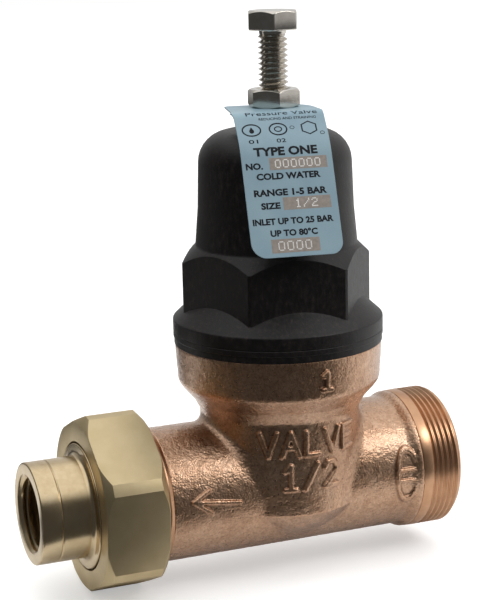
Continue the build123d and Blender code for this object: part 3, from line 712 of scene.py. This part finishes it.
# ---- Machined ends of the body ----
def make_inlet_end():
    angles = round_angles()
    depth = SHARP_V * UNION_PITCH
    left, band_end = CAST_RIGHT_X, -9.0
    outside = thread(band_end, 0, THREAD_CREST_R, depth * 0.6, UNION_PITCH, angles,
                     [(band_end, THREAD_CREST_R), (-1.2, THREAD_CREST_R), (0, THREAD_CREST_R - 1.1)])
    inside = thread(0, left, PIPE_R, -0.8 * PIPE_PITCH * 0.8, PIPE_PITCH, angles,
                    [(left, 0), (-1.3, 0), (0, 10.7)], PIPE_TAPER)
    band = rounded([(left, 17.0), (left, THREAD_CREST_R - 0.12), (band_end - 0.1, THREAD_CREST_R),
                    (band_end, THREAD_CREST_R - 0.4)], (0, 0.2, 0.15, 0), 3)
    rows = np.concatenate([wide(band, angles), outside, inside])
    turned("inlet_thread_end", rows, angles, "x", "root", CUT_BRONZE, "cast_bronze", ("valve_body",))


def make_outlet_end():
    angles = round_angles()
    depth = SHARP_V * UNION_PITCH
    face, shoulder = UNION_FACE_X, UNION_FACE_X + 7.4
    outside = thread(face, shoulder, UNION_CREST_R, depth, UNION_PITCH, angles,
                     [(face, UNION_CREST_R - 0.9), (face + 1, UNION_CREST_R), (shoulder, UNION_CREST_R)])
    step = rounded([(shoulder, 18.3), (shoulder, 18.95), (SHOULDER_RIGHT_X - 0.9, 18.95),
                    (SHOULDER_RIGHT_X, 18.5), (SHOULDER_RIGHT_X, 9.0), (face, 9.0), (face, 17.5)],
                   (0, 0.3, 0.4, 0, 0, 0.5, 0), 3)
    rows = np.concatenate([outside, wide(step, angles)])
    turned("outlet_thread_end", rows, angles, "x", "root", CUT_BRONZE, "cast_bronze", ("valve_body",))


make_inlet_end()
make_outlet_end()


# ---- Bonnet ----
def make_bonnet():
    sharp_corner_r, corner_r, hex_turn = 26.4, 26.15, math.radians(-9.6)
    angles, hex_r = hexagon(2 * sharp_corner_r * math.cos(math.pi / 6), corner_r, hex_turn)
    flange_top, slope_low_r, slope_top = 46.2, 22.4, 52.0
    slope = (slope_top - flange_top) / (FLANGE_R - slope_low_r)
    foot = flange_top + (FLANGE_R - hex_r) * slope
    shoulder_z, cone_r = 66.3, 22.0
    crown = shoulder_z - (hex_r - cone_r)
    insert_r = hexagon_radius(angles, 11.7, 0.0)
    top, boss_r = 96.9, 9.0
    line_r = FLANGE_R - 0.12
    points = [
        (30.9, 20.0), (30.9, 24.0), (CUP_TOP_Z + 0.03, 24.0), (CUP_TOP_Z + 0.03, 27.9),
        (CUP_TOP_Z - 0.2, 28.0), (CUP_TOP_Z - 0.2, 28.5), (41.2, 28.45), (41.3, FLANGE_R),
        (42.6, FLANGE_R), (42.7, line_r), (42.95, line_r), (43.05, FLANGE_R), (flange_top, FLANGE_R),
        (foot, hex_r), (crown, hex_r), (shoulder_z, cone_r), (76.4, 21.1), (top, 20.4),
        (top, boss_r), (BOSS_TOP_Z, boss_r), (BOSS_TOP_Z, insert_r),
        (88.8, insert_r), (88.8, 17.5), (49.0, 18.2), (45.0, 20.0),
    ]
    radii = (0, 0, 0, 0, 0, 0.12, 0.15, 0.2, 0.08, 0.05, 0.05, 0.08, 0.7, 0.35, 0.35, 1.2, 0, 8.4, 0.7,
             0.4, 0.15, 0, 6.5, 0, 0)
    turned("bonnet_shell", rounded(points, radii, 8), angles, "z", "root", POLYMER, "black_polymer",
           ("bonnet",), sharp_degrees=22.0)


make_bonnet()


# ---- Union nut and tailpiece ----
def make_union_nut():
    angles, hex_r = hexagon(NUT_FLATS, NUT_CORNER_R, NUT_TURN)
    left, right = nut_low[0], nut_high[0]
    face_r, run = 22.7, 2.0
    edge = np.minimum(hex_r - 0.14, face_r)
    set_in = (hex_r - edge) * run / (NUT_CORNER_R - face_r)
    bore, hole, wall = 19.36, COLLAR_R + 0.4, 4.0
    outside = rounded([(left, hole), (left, edge), (left + set_in, hex_r), (right - set_in, hex_r),
                       (right, edge), (right, bore + 1.0)],
                      (0.25, 0.1, 0.1, 0.1, 0.1, 0), 3)
    inside = thread(right, left + wall + 1.5, bore, -0.75, UNION_PITCH, angles,
                    [(left, 0), (right - 0.8, 0), (right, bore + 0.9)])
    hollow = rounded([(left + wall + 1.4, bore + 0.75), (left + wall, bore + 0.75), (left + wall, hole)],
                     (0, 0, 0))
    rows = np.concatenate([wide(outside, angles), inside, wide(hollow, angles)])
    turned("union_nut_hex", rows, angles, "x", "union_nut", NUT_BRASS, "nut_brass", ("union_nut",),
           sharp_degrees=18.0)


def make_tailpiece():
    angles = round_angles()
    left = tail_low[0]
    face = nut_low[0] - 0.25
    scribe = left + 5.5
    flange_r, right, bore = UNION_CREST_R - 0.2, tail_high[0], 8.4
    shoulder = nut_low[0] + 4.1
    outside = rounded(
        [(left, 10.6), (left, HUB_R), (scribe - 0.3, HUB_R), (scribe, HUB_R - 0.22), (scribe + 0.3, HUB_R),
         (face, HUB_R), (face, COLLAR_R), (shoulder, COLLAR_R), (shoulder, flange_r), (right, flange_r),
         (right, bore), (left + 13.2, bore), (left + 13.0, PIPE_R)],
        (0.12, 0.45, 0.1, 0.12, 0.1, 1.3, 0.35, 0, 0.2, 0.2, 0.2, 0, 0), 5)
    inside = thread(left + 13.0, left + 0.25, PIPE_R - 0.4, -0.8 * PIPE_PITCH * 0.75, PIPE_PITCH, angles,
                    [(left + 0.25, 10.35), (left + 1.45, 9.2), (left + 1.5, 0), (left + 13, 0)], -PIPE_TAPER)
    rows = np.concatenate([wide(outside, angles), inside])
    turned("union_tail", rows, angles, "x", "union_tailpiece", TAIL_BRASS, "turned_brass",
           ("union_tailpiece",))


make_union_nut()
make_tailpiece()


# ---- Adjusting screw and lock nut ----
def make_screw():
    head_low, head_top, tip = 123.4, screw_high[2], screw_low[2]
    angles, hex_r = hexagon(HEX_FLATS, 7.28, math.radians(7.6))
    top_r = HEX_FLATS / 2 - 0.2
    drop = (hex_r - top_r) * 0.6
    depth = SHARP_V * SCREW_PITCH
    neck_r, neck_z = 3.6, head_low - 1.6
    stalk = thread(tip, neck_z, SCREW_R, depth, SCREW_PITCH, angles,
                   [(tip, 2.9), (tip + 0.5, 3.2), (tip + 1.6, SCREW_R), (head_low, SCREW_R)])
    head = rounded([(neck_z + 0.3, neck_r), (head_low, neck_r), (head_low, hex_r - 0.3),
                    (head_low + 0.3, hex_r), (head_top - drop, hex_r), (head_top, top_r), (head_top, 0)],
                   (0.2, 0.5, 0.12, 0.12, 0.15, 0.3, 0), 3)
    start = np.broadcast_to(np.array([[[tip], [0.0]]]), (1, 2, len(angles)))
    rows = np.concatenate([start, stalk, wide(head, angles)])
    turned("adjusting_bolt", rows, angles, "z", "adjusting_screw", STEEL, "stainless",
           ("adjusting_screw",), closed=False)


def make_lock_nut():
    low, high = lock_low[2], lock_high[2]
    angles, hex_r = hexagon(HEX_FLATS, 7.28, math.radians(18.3))
    face_r = HEX_FLATS / 2 - 0.15
    drop = (hex_r - face_r) * 0.58
    bore = SCREW_R + 0.06
    points = [(low, bore + 0.7), (low, face_r), (low + drop, hex_r), (high - drop, hex_r), (high, face_r),
              (high, bore + 0.7), (high - 0.7, bore), (low + 0.7, bore)]
    turned("lock_nut_hex", rounded(points, (0.1, 0.2, 0.15, 0.15, 0.25, 0.1, 0.05, 0.05), 3), angles, "z",
           "lock_nut", STEEL, "stainless", ("lock_nut",), sharp_degrees=25.0)


make_screw()
make_lock_nut()


# ---- Adjusting spring and diaphragm ----
SPRING_TURNS = 6.5
SPRING_WIRE_R = 1.58
SPRING_CUT_Z = 37.5            # the coil is cut in two at this height: its foot below sits on the stem's plate, the rest runs up to the button
PLATE_R, CLAMP_R = 14.6, 19.3  # the diaphragm flexes between these radii
STEM_HOLE_R = 2.43


def coil(name, first, last, radius, start, end, body):
    """One length of the spring, between two shares of its whole rise from first to last."""
    steps, sides = int(SPRING_TURNS * 48 * (end - start)), 14
    share = np.linspace(start, end, steps)[:, None]
    turn = math.pi / 2 + TURN * SPRING_TURNS * share
    outward = np.concatenate([np.sin(turn), -np.cos(turn), 0 * turn], 1)[:, None]
    forward = np.concatenate([np.cos(turn), np.sin(turn), 0 * turn], 1) * TURN * SPRING_TURNS * radius
    forward[:, 2] = last - first
    forward /= np.linalg.norm(forward, axis=1)[:, None]
    across = np.cross(forward[:, None], outward)
    middle = np.array([STEM_X, 0, first]) + outward[:, 0] * radius
    middle[:, 2] += share[:, 0] * (last - first)
    around = np.linspace(0, TURN, sides + 1)[None, :, None]
    points = middle[:, None] + SPRING_WIRE_R * (np.cos(around) * outward + np.sin(around) * across)
    top = (steps - 1) * (sides + 1)
    faces = grid_faces(steps, sides + 1, False)
    faces += [list(range(sides))[::-1], list(range(top, top + sides))]
    piece(name, points, faces, body, SPRING_STEEL, "spring_steel", ("adjusting_spring",))


def make_spring():
    """The spring in two lengths, cut at SPRING_CUT_Z, each passed the bodies and points at its two ends."""
    low, high = span("adjusting_spring")
    first, last = low[2] + SPRING_WIRE_R, high[2] - SPRING_WIRE_R
    radius = (high[1] - low[1]) / 2 - SPRING_WIRE_R
    cut = (SPRING_CUT_Z - first) / (last - first)
    for name, start, end, bodies in (("spring_foot", 0, cut, ("stem", "root")),
                                     ("spring_coil", cut, 1, ("root", "spring_button"))):
        ends = [(STEM_X * MM, 0, (first + (last - first) * share) * MM) for share in (start, end)]
        coil(name, first, last, radius, start, end, (*bodies, *ends))


def make_diaphragm(sectors=12, rings=9):
    """The disc: its middle rides on the stem, its rim on the root, and the web between is made in sectors.
    """
    low, high = span("diaphragm")
    bottom, top, rim_r = low[2], high[2], (high[1] - low[1]) / 2
    for name, inner, outer, body in (("diaphragm_middle", STEM_HOLE_R, PLATE_R, "stem"),
                                     ("diaphragm_rim", CLAMP_R, rim_r, "root")):
        ring_rows = rounded([(bottom, inner), (bottom, outer), (top, outer), (top, inner)], (0, 0, 0, 0))
        turned(name, ring_rows, round_angles(97), "z", body, RUBBER, "diaphragm_rubber", ("diaphragm",))
    radii = np.linspace(PLATE_R, CLAMP_R, rings)
    outline = [(bottom, radius) for radius in radii] + [(top, radius) for radius in radii[::-1]]
    rows = rounded(outline, [0] * len(outline))
    half = TURN / sectors / 2
    for sector in range(sectors):
        middle = sector * 2 * half
        angles = np.linspace(middle - half, middle + half, 9)
        ends = [((STEM_X + radius * math.sin(middle)) * MM, -radius * math.cos(middle) * MM, top * MM)
                for radius in (PLATE_R, CLAMP_R * math.cos(half))]
        faces = grid_faces(len(rows), len(angles), True)
        for column in (0, len(angles) - 1):
            faces.append([row * len(angles) + column for row in range(len(rows))])
        piece(f"diaphragm_web_{sector:02d}", around_z(wide(rows, angles), angles), faces,
              ("stem", "root", *ends), RUBBER, "diaphragm_rubber", ("diaphragm",))


make_spring()
make_diaphragm()


# ---- Rating tag ----
# The flat plate has s along its length from its rear edge and w across it, to the left of the front.
TAG_THICK = 0.4
tag_mid_z = BOSS_TOP_Z + TAG_THICK / 2
tag_corners = [(-5.5, tag_mid_z), (12.7, tag_mid_z), (18.9, 95.3), (30.1, 68.1)]
tag_path = rounded(tag_corners, (0, 3, 20, 0), 24)[:, :, 0]
tag_steps = np.linalg.norm(np.diff(tag_path, axis=0), axis=1)
tag_s = np.concatenate([[0], np.cumsum(tag_steps)])
tag_length = tag_s[-1]
TAG_LEFT, TAG_RIGHT = 14.4, -9.7
HOLE_S = 5.5
PRINT_THICK = 0.012            # half of it, above and below the middle of a printed shape
FONT_CAPITAL = 0.73            # height of a capital in a font of size 1
tag_out = np.array([math.sin(TAG_TURN), -math.cos(TAG_TURN), 0])
tag_aside = np.array([-math.cos(TAG_TURN), -math.sin(TAG_TURN), 0])


def on_tag(flat):
    """Points on the bent tag from flat points (s, w, height above its middle)."""
    s, w, height = np.asarray(flat, float).T
    (out, up), before, after = (np.array([np.interp(s + step, tag_s, tag_path[:, k]) for k in (0, 1)])
                                for step in (0, -0.15, 0.15))
    ahead = after - before
    size = np.maximum(np.hypot(*ahead), 1e-9)
    out = out - height * ahead[1] / size
    up = up + height * ahead[0] / size
    return (np.array([STEM_X, 0, 0]) + out[:, None] * tag_out + w[:, None] * tag_aside
            + up[:, None] * np.array([0, 0, 1]))


def bent(name, flat_mesh, material, stands_for=()):
    """A flat mesh in (s, w, height) mm, cut across at the bends and laid on the tag's curve."""
    work = bmesh.new()
    work.from_mesh(flat_mesh)
    for s in np.concatenate([np.arange(16.5, 23.0, 0.4), np.arange(23.0, 40.0, 1.2)]):
        everything = work.verts[:] + work.edges[:] + work.faces[:]
        bmesh.ops.bisect_plane(work, geom=everything, plane_co=(float(s), 0, 0), plane_no=(1, 0, 0))
    work.verts.ensure_lookup_table()
    flat = np.array([v.co for v in work.verts], float).reshape(-1, 3)
    for vert, place in zip(work.verts, on_tag(flat) * MM):
        vert.co = place
    bmesh.ops.recalc_face_normals(work, faces=work.faces)
    mesh = bpy.data.meshes.new(name)
    work.to_mesh(mesh)
    work.free()
    return dressed(name, mesh, "rating_tag", material, stands_for)


def curve_mesh(curve):
    """The mesh of a curve, which is then removed."""
    holder = bpy.data.objects.new("flat", curve)
    mesh = bpy.data.meshes.new_from_object(holder)
    bpy.data.objects.remove(holder)
    bpy.data.curves.remove(curve)
    return mesh


def plate(outlines, extrude, bevel=0.0):
    """A flat plate from closed outlines of (x, y) points; inner outlines are holes."""
    curve = bpy.data.curves.new("plate", "CURVE")
    curve.dimensions = "2D"
    curve.fill_mode = "BOTH"
    curve.extrude = extrude
    curve.bevel_depth = bevel
    curve.bevel_resolution = 1
    for outline in outlines:
        spline = curve.splines.new("POLY")
        spline.points.add(len(outline) - 1)
        spline.use_cyclic_u = True
        for point, (x, y) in zip(spline.points, outline):
            point.co = (x, y, 0, 1)
    return curve_mesh(curve)


def corner(cx, cy, radius, first, last, steps=8):
    """Points of an arc between two angles in degrees."""
    return [(cx + radius * math.cos(math.radians(a)), cy + radius * math.sin(math.radians(a)))
            for a in np.linspace(first, last, steps)]


def make_tag():
    end = tag_length
    outline = (corner(1.5, TAG_LEFT - 3.4, 1.5, 180, 90) + [(14.6, TAG_LEFT - 0.4), (16.8, TAG_LEFT + 0.4)]
               + [(19.5, TAG_LEFT)]
               + corner(end - 4, TAG_LEFT - 4, 4, 90, 0) + corner(end - 3.2, TAG_RIGHT + 3.2, 3.2, 0, -90)
               + corner(9.5, TAG_RIGHT + 9.5, 9.5, -90, -180, 16))
    hole = corner(HOLE_S, 0, SCREW_R + 0.4, 360, 15, 24)
    edge = 0.05
    flat = plate([outline, hole], TAG_THICK / 2 - edge, edge)
    bent("rating_tag_plate", flat, PLATE, ("rating_tag",))


def letters(text, s, left, right, cap, bold):
    """Flat letters on the tag, standing on the line s and filling the width from left to right."""
    curve = bpy.data.curves.new("letters", "FONT")
    curve.body = text
    curve.size = 1
    curve.offset = bold
    curve.resolution_u = 3
    curve.extrude = PRINT_THICK
    mesh = curve_mesh(curve)
    x, y, z = np.array([v.co for v in mesh.vertices]).T
    across = left + (x - x.min()) * (right - left) / (x.max() - x.min())
    spots = np.stack([s - y * cap / FONT_CAPITAL, -across, TAG_THICK / 2 + PRINT_THICK + z], -1)
    mesh.vertices.foreach_set("co", spots.astype(np.float32).ravel())
    return mesh


def joined(meshes):
    """One mesh from several."""
    work = bmesh.new()
    for mesh in meshes:
        work.from_mesh(mesh)
    made = bpy.data.meshes.new("joined")
    work.to_mesh(made)
    work.free()
    return made


def stencil(outlines, thick=PRINT_THICK, lift=PRINT_THICK):
    """A thin flat shape on the tag from outlines of (s, w) points."""
    mesh = plate(outlines, thick)
    spots = np.array([v.co for v in mesh.vertices])
    spots[:, 2] += TAG_THICK / 2 + lift
    mesh.vertices.foreach_set("co", spots.astype(np.float32).ravel())
    return mesh


def oval(s, w, half_s, half_w, steps=32):
    return [(s + half_s * math.cos(a), w + half_w * math.sin(a)) for a in np.linspace(0, TURN, steps, False)]


def ring(s, w, half_s, half_w, line):
    return [oval(s, w, half_s, half_w), oval(s, w, half_s - line, half_w - line)[::-1]]


def drop_mark(s, w, size):
    """A water drop."""
    return [[(s - size, w)] + corner(s + 0.2 * size, w, 0.62 * size, 140, -140, 14)]


def nut_mark(s, w, size, line):
    """A hexagon's outline, for the union nut."""
    def edge(k):
        return [(s + k * math.cos(a), w + 1.15 * k * math.sin(a)) for a in np.linspace(0, TURN, 6, False)]
    return [edge(size), edge(size - line)[::-1]]


PRINT_ROWS = (
    # text, baseline s, left w, right w, cap height, boldness
    ("Pressure Valve", 18.9, 11.2, -8.0, 1.45, 0.004),
    ("REDUCING AND STRAINING", 20.35, 8.0, -7.4, 0.75, 0.01),
    ("01", 27.1, 11.8, 9.3, 1.1, 0.01),
    ("02", 27.1, 4.4, 1.9, 1.1, 0.01),
    ("TYPE ONE", 30.5, 11.0, -6.0, 2.2, 0.042),
    ("NO.", 34.0, 13.5, 9.0, 1.65, 0.042),
    ("COLD WATER", 36.8, 11.0, -6.0, 1.65, 0.042),
    ("RANGE 1-5 BAR", 41.1, 12.2, -7.2, 1.7, 0.042),
    ("SIZE", 44.5, 10.7, 5.6, 1.6, 0.042),
    ("INLET UP TO 25 BAR", 48.6, 13.4, -8.0, 1.6, 0.042),
    ("UP TO 80°C", 51.7, 9.1, -3.4, 1.6, 0.042),
)
FIELDS = (
    # digits, top s, bottom s, left w, right w
    ("000000", 31.2, 34.4, 7.2, -8.2),
    ("1/2", 41.7, 45.0, 4.8, -7.9),
    ("0000", 52.5, 56.1, 9.2, -3.6),
)
DOTS = {
    "0": ("01110", "10001", "10001", "10001", "10001", "10001", "01110"),
    "1": ("00100", "01100", "00100", "00100", "00100", "00100", "01110"),
    "2": ("01110", "10001", "00001", "00110", "01000", "10000", "11111"),
    "/": ("00001", "00001", "00010", "00100", "01000", "10000", "10000"),
}


def make_print():
    ink = [letters(text, s, -left, -right, cap, bold) for text, s, left, right, cap, bold in PRINT_ROWS]
    ink += [stencil(mark) for mark in (
        ring(23.2, 10.5, 1.9, 2.6, 0.38), drop_mark(23.3, 10.5, 1.05),
        ring(23.2, 3.4, 1.9, 2.5, 0.38), ring(23.2, 3.4, 0.85, 1.1, 0.3),
        nut_mark(23.2, -4.9, 2.1, 0.36),
        ring(24.9, -8.2, 0.5, 0.65, 0.14), ring(22.9, -0.4, 0.5, 0.65, 0.14),
    )]
    bent("rating_tag_ink", joined(ink), INK)
    fields, dots = [], []
    for digits, top, bottom, left, right in FIELDS:
        fields.append(stencil([[(top, left), (bottom, left), (bottom, right), (top, right)]], 0.006, 0.006))
        height = (bottom - top) * 0.6
        step = height / 6
        start = (left + right) / 2 + step * (6.6 * len(digits) - 1.6) / 2
        for place, digit in enumerate(digits):
            for row, line in enumerate(DOTS[digit]):
                for column, mark in enumerate(line):
                    if mark == "1":
                        spot = (top + (bottom - top) * 0.2 + row * step,
                                start - (place * 6.6 + column) * step)
                        dots.append(stencil([oval(*spot, 0.17, 0.17, 8)], 0.006, 0.018))
    bent("rating_tag_fields", joined(fields), TAN)
    bent("rating_tag_digits", joined(dots), WHITE)


make_tag()
make_print()


# ---- Camera ----
AZIMUTH, ELEVATION, ROLL = (math.radians(v) for v in (-22.45, 12.65, -1.31))
CAMERA_DISTANCE = 474.6
aim = Vector((STEM_X - 10.9, 0, 51.3))
back = Vector((math.sin(AZIMUTH) * math.cos(ELEVATION), -math.cos(AZIMUTH) * math.cos(ELEVATION),
               math.sin(ELEVATION)))
level = Vector((math.cos(AZIMUTH), math.sin(AZIMUTH), 0))
upright = back.cross(level)
right = level * math.cos(ROLL) + upright * math.sin(ROLL)
upward = back.cross(right)
camera_data = bpy.data.cameras.new("camera")
camera_data.lens = 105.15
camera_data.sensor_width = 36
camera = placed("camera", camera_data)
camera.matrix_world = Matrix.Translation((aim + back * CAMERA_DISTANCE) * MM) @ Matrix(
    (right, upward, back)).transposed().to_4x4()
bpy.context.scene.camera = camera


# ---- Studio ----
TABLE_EDGE = 45.0              # how far the table comes out towards the camera, out of its sight
TABLE_FAR = 3000.0
LEAF_START, LEAF_END, LEAF_FAR = 30.0, 92.0, 700.0   # a leaf on the table's left, behind the valve
ROOM, CEILING = 0.065, 1.1     # brightness of the dark room behind the camera, and of the tent's roof
WALL_DIM, WALL_BRIGHT = 0.12, 0.75
TABLE_GLOW = 0.42              # seen by the camera only, so that the table's shadows stay pale
WHITE_LIGHT = (1, 1, 1, 1)


def make_table():
    """A pale table. Its near and left edges lie just outside the picture, so that the metal
    mirrors the dark room past them."""
    floor_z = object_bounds()[0][2] / MM - 0.05
    ground = CAMERA_DISTANCE * math.cos(ELEVATION)
    height = camera.location.z / MM - floor_z
    half_view = camera_data.sensor_width / 2 / camera_data.lens * 481 / 600

    def left_edge(y):
        """The picture's left edge on the table, with a margin for the camera's roll."""
        depth = (ground + y) * math.cos(ELEVATION) + height * math.sin(ELEVATION)
        return -half_view * depth * 1.12 - 12

    corners = [(left_edge(-TABLE_EDGE), -TABLE_EDGE), (TABLE_FAR, -TABLE_EDGE), (TABLE_FAR, TABLE_FAR),
               (left_edge(TABLE_FAR), TABLE_FAR), (left_edge(LEAF_END), LEAF_END), (-LEAF_FAR, LEAF_END),
               (-LEAF_FAR, LEAF_START), (left_edge(LEAF_START), LEAF_START)]
    mesh = bpy.data.meshes.new("table")
    mesh.from_pydata([(x * MM, y * MM, 0) for x, y in corners], [], [tuple(range(len(corners)))])
    table = placed("table", mesh)
    table.location = Vector((aim.x, aim.y, floor_z)) * MM
    table.rotation_euler = (0, 0, AZIMUTH)
    top = simple("table", (0.66, 0.66, 0.655), (0.68, 0.68, 0.675), 0.01, 0.7, 0.8, 0.001,
                 Emission_Strength=0.0)
    tree = top.node_tree
    seen = wired(tree, "ShaderNodeLightPath").outputs["Is Camera Ray"]
    glow = wired(tree, "ShaderNodeMath", {0: seen, 1: TABLE_GLOW}, operation="MULTIPLY")
    shader = tree.nodes["Principled BSDF"].inputs
    shader["Emission Color"].default_value = WHITE_LIGHT
    tree.links.new(glow.outputs[0], shader["Emission Strength"])
    table.data.materials.append(top)


def make_lamps():
    """A softbox in front on the right, and an even fill that only matt surfaces show."""
    box_data = bpy.data.lights.new("softbox", "AREA")
    box_data.shape = "RECTANGLE"
    box_data.size, box_data.size_y = 0.16, 0.12
    box_data.energy = 0.4
    softbox = placed("softbox", box_data)
    softbox.location = Vector((190, -262, 300)) * MM
    softbox.rotation_mode = "QUATERNION"
    aim_down = Vector((-10, 0, 10)) * MM - softbox.location
    softbox.rotation_quaternion = aim_down.to_track_quat("-Z", "Y")
    fill_data = bpy.data.lights.new("fill", "SUN")
    fill_data.angle = math.radians(110)
    fill_data.energy = 2.1
    fill = placed("fill", fill_data)
    fill.rotation_euler = (math.radians(8), math.radians(-10), 0)
    fill.visible_glossy = False


def make_world():
    """A white tent with a dark opening on the camera's side."""
    world = bpy.data.worlds.new("tent")
    bpy.context.scene.world = world
    world.use_nodes = True
    tree = world.node_tree
    direction = wired(tree, "ShaderNodeTexCoord").outputs["Generated"]
    above = wired(tree, "ShaderNodeSeparateXYZ", {0: direction}).outputs["Z"]

    def spread(source, low, high, first, last):
        """A smooth change from first to last as the source goes from low to high."""
        inputs = {"Value": source, "From Min": low, "From Max": high, "To Min": first, "To Max": last}
        return wired(tree, "ShaderNodeMapRange", inputs, interpolation_type="SMOOTHSTEP").outputs[0]

    def towards(turn_degrees):
        """Cosine of the angle from a level direction, turned from the camera to the photo's right."""
        turn = AZIMUTH + math.radians(turn_degrees)
        inputs = {0: direction, 1: (math.sin(turn), -math.cos(turn), 0)}
        return wired(tree, "ShaderNodeVectorMath", inputs, operation="DOT_PRODUCT").outputs["Value"]

    def mixed(share, first, second):
        inputs = {"Factor": share, "A": first, "B": second}
        return wired(tree, "ShaderNodeMix", inputs, data_type="FLOAT").outputs["Result"]

    walls = spread(towards(135), -0.45, 0.85, WALL_DIM, WALL_BRIGHT)
    opened = mixed(spread(towards(-28), 0.06, 0.36, 0.0, 1.0), walls, ROOM)
    roofed = mixed(spread(above, 0.5, 0.84, 0.0, 1.0), opened, CEILING)
    floored = mixed(spread(above, -0.15, -0.02, 1.0, 0.0), roofed, ROOM)
    tent = tree.nodes["Background"]
    tent.inputs["Color"].default_value = WHITE_LIGHT
    tree.links.new(floored, tent.inputs["Strength"])
    plain = wired(tree, "ShaderNodeBackground", {"Color": WHITE_LIGHT})
    seen = wired(tree, "ShaderNodeLightPath").outputs["Is Camera Ray"]
    mix = wired(tree, "ShaderNodeMixShader", {0: seen, 1: tent.outputs[0], 2: plain.outputs[0]})
    tree.links.new(mix.outputs[0], tree.nodes["World Output"].inputs["Surface"])


make_table()
make_world()
make_lamps()
bpy.context.scene.view_settings.view_transform = "Standard"
